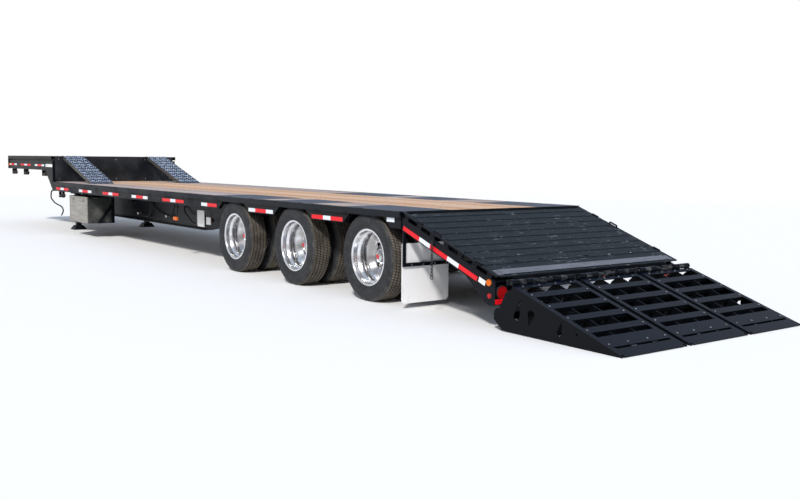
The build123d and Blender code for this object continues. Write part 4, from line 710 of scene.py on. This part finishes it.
nuts = []
for place in round_hub(10, 0.122, 0.022, 0.5):
    nuts.append(stud(place, (0, 1, 0), 0.0185, 0.03, 6, 0.003))
    nuts.append(stud(place + Vector((0, 0.028, 0)), (0, 1, 0), 0.0105, 0.018, 12, 0.002))
    nuts.append(stud(place, (0, 1, 0), 0.024, 0.005, 16, 0.0015))
for place in round_hub(6, 0.078, 0.096):
    nuts.append(stud(place, (0, 1, 0), 0.006, 0.006, 6, 0.001))
on_every_hub("wheel_nuts", joined(*nuts), steel)
HUB = [(0.0385, -0.212), (0.084, -0.212), (0.084, 0.078), (0.082, 0.082), (0.088, 0.084), (0.089, 0.087),
       (0.089, 0.094), (0.0875, 0.096), (0.0385, 0.096)]
DRUM = [(0.074, -0.026), (0.198, -0.026), (0.206, -0.03), (0.208, -0.038), (0.208, -0.188), (0.212, -0.19),
        (0.214, -0.194), (0.214, -0.208), (0.212, -0.212), (0.192, -0.212), (0.192, -0.046),
        (0.074, -0.042)]
hub = lathe(HUB, wheel_place, 48)
drum = lathe(DRUM, wheel_place, 72)
on_every_hub("hub_and_drum", joined(hub, drum), iron)
CAP = [(0.001, 0.148), (0.03, 0.147), (0.048, 0.143), (0.059, 0.135), (0.063, 0.124), (0.064, 0.112),
       (0.0645, 0.102), (0.07, 0.1), (0.082, 0.099), (0.083, 0.0962), (0.001, 0.0962)]
on_every_hub("hub_end", lathe(CAP, wheel_place, 40), alloy)
PLUG = [(0.001, 0.152), (0.02, 0.1515), (0.027, 0.149), (0.03, 0.145), (0.0305, 0.14), (0.001, 0.14)]
on_every_hub("oil_cap", lathe(PLUG, wheel_place, 28), cap_red)

# Air springs, kingpin and couplings: moulded rubber bellows that carry the axles, and the cast and forged
# steel that the tractor takes hold of, left without paint.
bellows = Finish("bellows_rubber", Base_Color=(0.014, 0.014, 0.015, 1), Roughness=0.62,
                 Specular_IOR_Level=0.35)
bellows.bump(bellows.noise(80, 3, 0.5), 0.001, 0.3)
bellows.wear("air_springs")
iron.wear("nose_couplings", "kingpin", "coupler_plate")

# Reflecting tape on the beavertail's side plates, a blank plate near each one's foot, and a red strip on
# the lower lip of each light box. The tape follows the beavertail's slope.
TAIL_FACE = 1.267
TAPE_TOP_X = -6.004
TAPE_END_X = -7.116
TAPE_TOP_Z = 0.8165
TAPE_FALL = 0.3474
tail_strips = {"R": [], "W": []}
run = (TAPE_TOP_X - TAPE_END_X) / cos(SLOPE)
x = TAPE_TOP_X
for letter in "RWRWR":
    length = run * (RED if letter == "R" else WHITE) / (3 * RED + 2 * WHITE)
    x_end = x - length * cos(SLOPE)
    middle = (x + x_end) / 2
    z = TAPE_TOP_Z + (middle - TAPE_TOP_X) * TAPE_FALL
    tail_strips[letter] += tape_pair(middle - length / 2, middle + length / 2, z - 0.022, z + 0.022,
                                     TAIL_FACE, -SLOPE)
    x = x_end
for side in (1, -1):
    tail_strips["R"].append(bar(-7.356, -7.3546, side * 1.076, side * 1.264, 0.227, 0.272, 0.0004, 1))
finished("red_tail_strips", tail_strips["R"], red_tape, smooth=0)
finished("white_tail_strips", tail_strips["W"], white_tape, smooth=0)
plates = [bar(-7.229, -7.135, side * 1.2671, side * 1.2683, 0.392, 0.44, 0.0004, 1, -SLOPE)
          for side in (1, -1)]
finished("blank_tail_plates", plates, blank, smooth=0)
lips = [bar(-7.3545, -7.3515, side * 1.073, side * 1.2665, 0.222, 0.276, 0.001, 2) for side in (1, -1)]
finished("light_box_lips", lips, black)

# Bolts of the beavertail, the mud flap frames and the bulkhead: two through each spacer between cap bar
# and side plate, four along each flap frame, and two rows across the back of the bulkhead.
SPACER_PITCH = 0.203
bolts = []
for spacer in range(7):
    x = DECK_END - 0.091 - SPACER_PITCH * spacer
    for side in (1, -1):
        for shift in (-0.018, 0.018):
            place = (x + shift, side * TAIL_FACE, tail_z(x + shift, -0.034))
            bolts.append(stud(place, (0, side, 0), 0.009, 0.006, 6, 0.0012))
finished("beavertail_bolts", bolts, black)
bolts = []
for side in (1, -1):
    for y in (0.72, 0.87, 1.02, 1.17):
        bolts.append(stud((-6.0217, side * y, 0.446), (-1, 0, 0), 0.01, 0.006, 6, 0.0012))
for y in (-1.15, -0.62, 0.0, 0.62, 1.15):
    for z in (1.03, 1.42):
        bolts.append(stud((5.5115, y, z), (-1, 0, 0), 0.011, 0.006, 6, 0.0012))
finished("frame_bolts", bolts, steel)

# Lamps: moulded plastic lenses, red behind and amber at the sides, with a fine pattern of cells in them.
# A black rubber ring holds each round lamp in its hole.
def lens_finish(name, colour, deep):
    lens_look = Finish(name, Roughness=0.3, Specular_IOR_Level=0.3)
    cells = lens_look.node("TexVoronoi", {"Vector": lens_look.place, "Scale": 140}, out="Distance")
    lens_look.colour(cells.ramp(0.1, 0.7), colour, deep)
    lens_look.bump(cells, 0.0015, 0.5)
    return lens_look


red_lens = lens_finish("red_lens", (0.62, 0.01, 0.014), (0.3, 0.004, 0.006))
amber_lens = lens_finish("amber_lens", (0.92, 0.2, 0.002), (0.6, 0.09, 0.001))
red_lens.wear("red_lamps")
amber_lens.wear("amber_lamps")
LAMP_X = -7.3125
RING = [(0.0575, 0.018), (0.06, 0.0215), (0.064, 0.022), (0.0675, 0.0195), (0.0685, 0.01), (0.069, 0.0002),
        (0.0575, 0.0002)]
SMALL_RING = [(0.0225, 0.004), (0.024, 0.0056), (0.0275, 0.0052), (0.029, 0.003), (0.0295, 0.0002),
              (0.0225, 0.0002)]
WIDER = 0.008
WIDE_RING = [(radius + WIDER, out) for radius, out in SMALL_RING]
MARKER_X = -7.2905
AMBER_X = -7.2805
rings = []
for side in (1, -1):
    rings.append(lathe(RING, (LAMP_X, side * 1.158, 0.3209), 40, axis=(-1, 0, 0)))
for side in (1, -1):
    rings.append(lathe(SMALL_RING, (MARKER_X, side * TAIL_FACE, 0.2979), 28, axis=(0, side, 0)))
for side in (1, -1):
    amber_place = (AMBER_X, side * TAIL_FACE, tail_z(AMBER_X, -0.092))
    rings.append(lathe(WIDE_RING, amber_place, 32, axis=(0, side, 0)))
finished("lamp_rings", rings, bellows)

# Mud flaps: stiff sheets of white plastic that hang from their frames behind the rear wheels. Road dirt
# has splashed them grey, most of all low down.
flap = Finish("flap_plastic", Roughness=0.42, Specular_IOR_Level=0.4)
low_down = 1 - flap.axes()[2].ramp(0.05, 0.5)
splash = flap.noise(9, 7, 0.65, stretch=(1, 1.2, 0.4)).ramp(0.5, 0.8) * low_down
splash = splash + flap.noise(3, 5, 0.6).ramp(0.6, 0.9) * 0.3
flap.colour(splash * 0.5, (0.88, 0.88, 0.9), (0.5, 0.46, 0.43))
flap.wear("mud_flaps")

# Toolbox: a folded sheet box in dark paint with a door of bare aluminium. A bead is pressed round the
# door, a rolled hinge runs along its foot, and two paddle latches hold it. Two frames hang it from the beam.
door_metal = Finish("toolbox_aluminium", Metallic=0.55)
brush = door_metal.noise(16, 6, 0.7, stretch=(0.12, 1, 2.5))
door_metal.colour(brush.ramp(0.3, 0.75), (0.46, 0.435, 0.4), (0.25, 0.235, 0.21))
door_metal.feed("Roughness", brush * 0.35 + 0.28)
door_metal.bump(brush, 0.0006, 0.3)
door_metal.wear("toolbox_door")
box_paint = Finish("toolbox_shell", Specular_IOR_Level=0.5)
haze = box_paint.noise(4, 6, 0.65).ramp(0.4, 0.75)
box_paint.colour(haze, (0.026, 0.029, 0.028), (0.095, 0.098, 0.092))
box_paint.feed("Roughness", haze * 0.3 + 0.3)
box_paint.wear("toolbox")
DOOR_REAR = 3.62
DOOR_FRONT = 4.573
BEAD = 0.01
beads = [bar(DOOR_REAR, DOOR_FRONT, 1.24, 1.2432, z, z + BEAD, 0.0014) for z in (0.292, 0.708)]
beads += [bar(x, x + BEAD, 1.24, 1.2432, 0.302, 0.708, 0.0014) for x in (DOOR_REAR, DOOR_FRONT - BEAD)]
cylinder(16, 0.0055, 0.048, (3.616, 1.2445, 0.2705), (0, pi / 2, 0))
beads.append(row(rounded(0.0008), 19, (0.0505, 0, 0)))
for x in (3.8065, 4.3865):
    beads.append(bar(x - 0.022, x + 0.022, 1.2538, 1.26, 0.662, 0.696, 0.002, 3))
    beads.append(bar(x - 0.008, x + 0.008, 1.259, 1.265, 0.655, 0.676, 0.002, 3))
HANGER_WIDE = 0.044
hangers = []
for x in (3.5422, 4.6068):
    x_end = x + HANGER_WIDE
    hangers.append(bar(x, x_end, 0.4845, 1.225, 0.737, 0.745, 0.001, 1))
    hangers.append(bar(x, x_end, 0.752, 0.8, 0.2655, 0.745, 0.002, 1))
    hangers.append(bar(x, x_end, 0.752, 1.06, 0.2655, 0.2735, 0.001, 1))
    hangers.append(block((x + HANGER_WIDE / 2, 0.92, 0.43), (HANGER_WIDE, 0.4, 0.044),
                         (radians(-51), 0, 0), 0.002, 1))
finished("toolbox_hanger_frames", hangers, black, stands_for=("toolbox_hangers",))
finished("toolbox_door_trim", beads, door_metal, "box_door")

# Valve carrier: two blank white panels on the carrier's face, the larger one held by four small bolts,
# and round cast valve bodies behind them.
panels = [bar(-0.8665, -0.6205, 1.0061, 1.0082, 0.483, 0.718, 0.0008, 2),
          bar(-1.0775, -0.9275, 1.0061, 1.0082, 0.526, 0.632, 0.0008, 2)]
finished("blank_valve_panels", panels, blank)
VALVE = [(0.001, 0.0), (0.04, 0.0), (0.042, 0.003), (0.042, 0.026), (0.048, 0.03), (0.049, 0.036),
         (0.049, 0.042), (0.044, 0.045), (0.033, 0.05), (0.028, 0.07), (0.018, 0.073), (0.001, 0.0735)]
valves = []
for x, z in ((-0.745, 0.6), (-1.0, 0.58)):
    valves.append(lathe(VALVE, (x, 1.0, z), 28, axis=(0, -1, 0), closed=False))
for x in (-0.855, -0.632):
    for z in (0.497, 0.705):
        valves.append(stud((x, 1.008, z), (0, 1, 0), 0.0065, 0.004, 6, 0.001))
finished("valve_bodies", valves, iron)

# Bent rods and pipes: the crank that works the landing legs, held on the left gearbox, the brake pipes
# that loop along the left beam and go into its web, and a low loop with two pads on each side of the
# beavertail.
def bent_rod(corners, radius, bend=0.04, sides=3):
    """A round rod through these corners, each corner rounded off within the length of the bend."""
    corners = [Vector(corner) for corner in corners]
    path = [corners[0]]
    for before, corner, after in zip(corners, corners[1:], corners[2:]):
        back, ahead = before - corner, after - corner
        reach_in = min(bend, back.length * 0.45, ahead.length * 0.45)
        start, end = corner + back.normalized() * reach_in, corner + ahead.normalized() * reach_in
        for step in range(6):
            t = step / 5
            path.append(start * (1 - t) ** 2 + corner * 2 * t * (1 - t) + end * t * t)
    path.append(corners[-1])
    drawn(path[0], path)
    bpy.ops.object.mode_set(mode="OBJECT")
    bpy.ops.object.convert(target="CURVE")
    rod = bpy.context.object
    rod.data.bevel_depth = radius
    rod.data.bevel_resolution = sides
    rod.data.use_fill_caps = True
    bpy.ops.object.convert(target="MESH")
    return bpy.context.object


crank_steel = Finish("crank_steel", Base_Color=(0.022, 0.022, 0.024, 1), Roughness=0.4, Metallic=0.4)
CRANK_X = 5.7315
BENDS = [(0.8485, 0.8), (1.245, 0.8), (1.258, 0.65), (1.18, 0.545), (1.045, 0.47), (1.015, 0.385),
         (1.062, 0.29)]
crank = bent_rod([(CRANK_X, y, z) for y, z in BENDS], 0.013)
finished("crank_rod", [crank], crank_steel, stands_for=("crank",), smooth=60)
pipe_paint = Finish("pipe_paint", Base_Color=(0.01, 0.01, 0.011, 1), Roughness=0.5,
                    Specular_IOR_Level=0.3)
WEB_Y = 0.483
PIPES = [[(3.3, WEB_Y, 0.68), (3.3, 0.516, 0.68), (3.24, 0.516, 0.56), (2.94, 0.52, 0.47),
          (2.6, 0.52, 0.43), (2.42, 0.52, 0.46), (2.36, 0.516, 0.68), (2.36, WEB_Y, 0.68)],
         [(2.28, WEB_Y, 0.68), (2.28, 0.514, 0.68), (2.22, 0.514, 0.6), (1.86, 0.52, 0.51),
          (1.66, 0.52, 0.485), (1.45, 0.52, 0.5), (1.36, 0.516, 0.68), (1.36, WEB_Y, 0.68)],
         [(0.95, WEB_Y, 0.68), (0.95, 0.516, 0.68), (0.88, 0.54, 0.6), (0.5, 0.62, 0.5),
          (-0.1, 0.8, 0.46), (-0.64, 0.925, 0.55), (-0.745, 0.94, 0.6)]]
pipes = [bent_rod(corners, 0.011, 0.08) for corners in PIPES]
finished("brake_pipes", pipes, pipe_paint, smooth=60)
fittings = []
for x, z in ((2.94, 0.47), (1.66, 0.485)):
    fittings.append(stud((x, 0.528, z), (0, 1, 0), 0.021, 0.02, 12, 0.003))
    fittings.append(stud((x, 0.484, z), (0, 1, 0), 0.012, 0.05, 6, 0.001))
finished("pipe_fittings", fittings, blank)
loops = []
for side in (1, -1):
    y = side * 1.252
    low = tail_z(-6.5235) - 0.004
    hoop = [(-6.5735, y, low - 0.02), (-6.5735, y, low + 0.006), (-6.4735, y, low + 0.042),
            (-6.4735, y, low + 0.01)]
    loops.append(bent_rod(hoop, 0.009, 0.024))
    for x in (-6.26, -7.118):
        z = tail_z(x)
        loops.append(bar(x - 0.045, x + 0.045, y - 0.011, y + 0.011, z - 0.003, z + 0.012, 0.004, 2, -SLOPE))
finished("beavertail_loops", loops, black)

# Landing legs: hexagon bolts of bright steel on the legs' brackets, on each foot and round the cover of
# the gear housing.
leg_bolts = []
for side in (1, -1):
    for z in (0.7125, 1.0125):
        for x in (5.66, 5.8):
            leg_bolts.append(stud((x, side * 0.6, z), (0, 0, 1), 0.012, 0.008, 6, 0.0015))
    for shift in (-0.09, 0.09):
        place = (CRANK_X + shift, side * 0.72 + 0.09, 0.01)
        leg_bolts.append(stud(place, (0, 0, 1), 0.01, 0.007, 6, 0.001))
for x in (5.685, 5.778):
    for z in (0.752, 0.858):
        leg_bolts.append(stud((x, 0.848, z), (0, 1, 0), 0.008, 0.006, 6, 0.001))
finished("leg_bolts", leg_bolts, steel)

# Strap winches: a cast ratchet wheel beside one cheek of each, its teeth drawn out of every other face
# of a disc, and a round cap on the drum's end.
WINCH_Y = 1.251
WINCH_DROP = 0.076
WINCH_PLACES = [(8.4065, 1.2), (7.4865, 1.2), (6.1365, 1.2), (5.0315, 0.805)]
winches = []
for x, rail_low in WINCH_PLACES:
    axle_height = rail_low - WINCH_DROP
    wheel = cylinder(36, 0.036, 0.008, (x - 0.105, WINCH_Y, axle_height), (0, pi / 2, 0))
    bpy.ops.object.mode_set(mode="EDIT")
    bpy.ops.mesh.select_mode(type="FACE")
    bpy.ops.mesh.select_all(action="DESELECT")
    shape = bmesh.from_edit_mesh(wheel.data)
    rim_faces = [face for face in shape.faces if abs(face.normal.z) < 0.5]
    rim_faces.sort(key=lambda face: (Vector((1, 0)).angle_signed(face.normal.xy)))
    for number, face in enumerate(rim_faces):
        face.select_set(number % 2 == 0)
    bmesh.update_edit_mesh(wheel.data)
    bpy.ops.mesh.extrude_faces_move(TRANSFORM_OT_shrink_fatten={"value": 0.007})
    bpy.ops.object.mode_set(mode="OBJECT")
    winches.append(wheel)
    winches.append(stud((x - 0.1088, WINCH_Y, axle_height), (-1, 0, 0), 0.017, 0.012, 16, 0.002))
finished("winch_ratchets", winches, iron, smooth=30)

# Removable deck ramps: galvanised channels with three strips of open diamond grating between them. Each
# strip is a lattice of thin bars on edge, with teeth punched up along them for grip. The zinc is painted
# blue on all but its sideways faces, a painted sky reflection over its spangle, and dark bands across it
# are painted shade of the openings.
zinc = Finish("galvanised_steel", Metallic=0.25)
spangle = zinc.node("TexVoronoi", {"Vector": zinc.place, "Scale": 45}, out="Color")
patch = zinc.node("SeparateColor", [spangle])
sideways = zinc.facing(1).size().ramp(0.6, 0.9)
# Painted shade: dark bands across the grating at an even pitch, where its openings show shade.
rows = ((zinc.axes()[0] + 20) % 0.168 / 0.168 - 0.5).size().ramp(0.16, 0.3)
mottle = (patch * 0.6 + zinc.noise(7, 4, 0.6) * 0.4).ramp(0.2, 0.8)
# The blue is a painted sky reflection over the spangle; the faces turned sideways stay plain grey.
spangle_and_sky_sheen = zinc.blend(mottle, (0.12, 0.18, 0.3), (0.5, 0.6, 0.78))
spangle_and_sky_sheen = zinc.blend(rows * 0.85, spangle_and_sky_sheen, (0.028, 0.046, 0.085))
zinc.colour(sideways, spangle_and_sky_sheen, (0.085, 0.082, 0.08))
zinc.feed("Roughness", patch * 0.2 + 0.34)
FOOT_X = 3.7765
RAMP_RUN = 1.735
RAMP_RISE = 0.504
INNER_Y = 0.668
OUTER_Y = 1.064
CHANNEL = 0.008
LEAN = atan(RAMP_RISE / RAMP_RUN)
CELL = 0.102
STRIP = 0.124


def tooth(place, foot, tip, tall, turn=0.0):
    """A four sided point that stands up from the grating."""
    bpy.ops.mesh.primitive_cone_add(vertices=4, radius1=foot, radius2=tip, depth=tall, location=place,
                                    rotation=(0, 0, turn + pi / 4))
    return bpy.context.object


cell = []
turn_out = atan(STRIP / CELL)
diagonal = (CELL ** 2 + STRIP ** 2) ** 0.5
for direction in (1, -1):
    cell.append(block((CELL / 2, 0, -0.012), (diagonal, 0.011, 0.024), (0, 0, direction * turn_out),
                      0.0008, 1))
    for share in (-0.36, -0.12, 0.12, 0.36):
        place = (CELL / 2 + share * CELL, direction * share * STRIP, 0.0035)
        cell.append(tooth(place, 0.0105, 0.004, 0.009, direction * turn_out))
for side in (-1, 1):
    cell.append(bar(0, CELL, side * STRIP / 2 - side * 0.004, side * STRIP / 2, -0.034, 0.001, 0.0008, 1))
    for number in range(5):
        place = ((number + 0.5) * CELL / 5, side * (STRIP / 2 - 0.002), 0.0045)
        cell.append(tooth(place, 0.006, 0.0015, 0.008))
strip = row(joined(*cell), 17, (CELL, 0, 0))
strip = row(strip, 3, (0, STRIP + 0.003, 0))
pick(strip)
strip.rotation_euler = (0, -LEAN, 0)
strip.location = (FOOT_X + 0.045, INNER_Y + 0.012 + STRIP / 2, DECK_TOP + 0.0145)
bpy.ops.object.transform_apply()
frames = [strip]
channel_middle = DECK_TOP + RAMP_RISE / 2 - 0.028
for y0 in (INNER_Y, OUTER_Y - CHANNEL):
    bpy.ops.object.select_all(action="DESELECT")
    middle = (FOOT_X + RAMP_RUN / 2, y0 + CHANNEL / 2, channel_middle)
    bpy.ops.mesh.primitive_cube_add(size=1, location=middle, rotation=(0, -LEAN, 0),
                                    scale=(RAMP_RUN / cos(LEAN), CHANNEL, 0.07))
    bpy.ops.object.transform_apply()
    bpy.ops.object.mode_set(mode="EDIT")
    bpy.ops.mesh.select_all(action="SELECT")
    bpy.ops.mesh.bisect(plane_co=(FOOT_X, 0, 0.9786), plane_no=(0, 0, -1), use_fill=True, clear_outer=True)
    bpy.ops.mesh.select_all(action="SELECT")
    bpy.ops.mesh.bisect(plane_co=(5.511, 0, 0), plane_no=(1, 0, 0), use_fill=True, clear_outer=True)
    frames.append(rounded(0.001))
for number in range(5):
    x = 3.99 + 0.36 * number
    z = DECK_TOP + (x - FOOT_X) * tan(LEAN)
    frames.append(bar(x - 0.016, x + 0.016, 0.672, 1.06, z - 0.06, z - 0.028, 0.002, 2, -LEAN))
frames.append(bar(5.4715, 5.6215, INNER_Y, OUTER_Y, 1.4824, 1.4882))
for y in (0.7, 1.032):
    frames.append(stud((5.585, y, 1.4845), (0, 0, 1), 0.008, 0.0032, 8, 0.001))
left_ramp = joined(*frames)
right_ramp = copied(left_ramp, (0, -INNER_Y - OUTER_Y, 0))
finished("deck_ramp_gratings", [left_ramp, right_ramp], zinc,
         stands_for=("deck_ramps",))

# Loading ramps and their hinges: welded steel frames in dark paint, painted blue on the faces that look up
# as a painted sky reflection, on knuckles rubbed to the metal. Rows of bolts lie across them, four in the
# first and last row.
navy = Finish("ramp_paint", Specular_IOR_Level=0.09)
sky_side = navy.facing(2).ramp(0.3, 0.95)
chips = navy.noise(24, 5, 0.7, stretch=(0.5, 1, 1)).ramp(0.62, 0.8)
# The faces that look up get a painted blue sky reflection in place of the dark paint.
paint_and_sky_reflection = navy.blend(sky_side, (0.0034, 0.0042, 0.006), (0.0014, 0.0038, 0.0105))
navy.colour(chips * 0.1, paint_and_sky_reflection, (0.1, 0.11, 0.13))
navy.feed("Roughness", chips * 0.3 + 0.34)
navy.bump(navy.noise(200, 2, 0.5), 0.0004, 0.35)
navy.wear("ramp_left", "ramp_centre", "ramp_right")
lugs = Finish("hinge_steel", Specular_IOR_Level=0.2)
rubbed = lugs.noise(17, 6, 0.68, stretch=(1, 0.6, 1)).ramp(0.44, 0.66)
lugs.colour(rubbed, (0.006, 0.008, 0.011), (0.085, 0.088, 0.095))
lugs.feed("Roughness", rubbed * 0.2 + 0.4)
lugs.wear("ramp_hinges")
PIN_X = -7.5265
PIN_Z = 0.437885
TOE_Z = 0.012
RAMP_REACH = 1.25
UNDER_PIN = 0.012
# The bolts lie on a plane a little flatter than the line from the pin to the toe
RAMP_SLOPE = atan((PIN_Z - TOE_Z) / RAMP_REACH) - 0.0091
# Distance from the hinge pin of each row of bolts, and the bolts' places across the ramp
BOLT_ROWS = [(0.064, (-0.3, -0.1, 0.1, 0.3)), (0.2285, (-0.345, 0.345)), (0.4485, (-0.345, 0.345)),
             (0.6685, (-0.345, 0.345)), (0.8885, (-0.345, 0.345)), (1.128, (-0.345, -0.12, 0.12, 0.345))]
facing = Vector((-sin(RAMP_SLOPE), 0, cos(RAMP_SLOPE)))
for name, centre in (("left", 0.853), ("centre", 0.0), ("right", -0.853)):
    ramp_bolts = []
    for distance, ys in BOLT_ROWS:
        x = PIN_X + UNDER_PIN * sin(RAMP_SLOPE) - distance * cos(RAMP_SLOPE)
        z = PIN_Z - UNDER_PIN * cos(RAMP_SLOPE) - distance * sin(RAMP_SLOPE)
        for y in ys:
            ramp_bolts.append(stud((x, centre + y, z), facing, 0.01, 0.005, 8, 0.0012))
    finished(f"{name}_ramp_bolts", ramp_bolts, steel, f"{name}_ramp")

# The safety chain on the left side of the beavertail: wire links, each turned a quarter from the last,
# hung from a headed pin, with a round ring at the end.
CHAIN_X = -6.4835
CHAIN_Y = 1.282
FIRST_LINK_Z = 0.70565
LINK_PITCH = 0.033
LINK_HALF = 0.01065
chain = []
for number in range(10):
    bpy.ops.mesh.primitive_torus_add(major_radius=0.009, minor_radius=0.0038, major_segments=16,
                                     minor_segments=8, rotation=(pi / 2, 0, pi / 2 * (number % 2)),
                                     location=(CHAIN_X, CHAIN_Y, FIRST_LINK_Z - LINK_PITCH * number))
    link = bpy.context.object
    bpy.ops.object.mode_set(mode="EDIT")
    bpy.ops.mesh.select_mode(type="VERT")
    for upper in (True, False):
        bpy.ops.mesh.select_all(action="DESELECT")
        shape = bmesh.from_edit_mesh(link.data)
        for vertex in shape.verts:
            vertex.select_set((vertex.co.y > 0.0001) == upper)
        bmesh.update_edit_mesh(link.data)
        bpy.ops.transform.translate(value=(0, 0, LINK_HALF if upper else -LINK_HALF))
    bpy.ops.object.mode_set(mode="OBJECT")
    chain.append(link)
bpy.ops.mesh.primitive_torus_add(major_radius=0.0188, minor_radius=0.004, major_segments=28, minor_segments=8,
                                 rotation=(pi / 2, 0, 0), location=(CHAIN_X, CHAIN_Y, 0.3763))
ring = bpy.context.object
PEG = [(0.001, 0.0), (0.004, 0.0), (0.004, 0.0195), (0.008, 0.02), (0.0085, 0.0212), (0.008, 0.0235),
       (0.006, 0.0245), (0.001, 0.0248)]
chain.append(lathe(PEG, (CHAIN_X, TAIL_FACE, 0.718), 20, closed=False))
finished("chain_links", chain, crank_steel, stands_for=("safety_chain",), smooth=60)
finished("chain_ring", [ring], iron, smooth=60)

# Tie down slots: openings in the steel on top of the lower deck's side rails, where straps and hooks go
# in. They are drawn as flat dark pads of painted shade, spaced evenly along both sides.
# Painted shade: near-black pads where the shaded insides of the openings would show.
dark = Finish("slot_painted_shade", Base_Color=(0.003, 0.003, 0.003, 1), Roughness=0.9)
slot_pads = []
for side in (1, -1):
    pad = bar(5.1, 5.19, side * 1.245, side * 1.272, 0.9781, 0.98, 0.0008, 2)
    slot_pads.append(row(pad, 18, (-SLOT_PITCH, 0, 0)))
finished("tie_down_slots", slot_pads, dark)
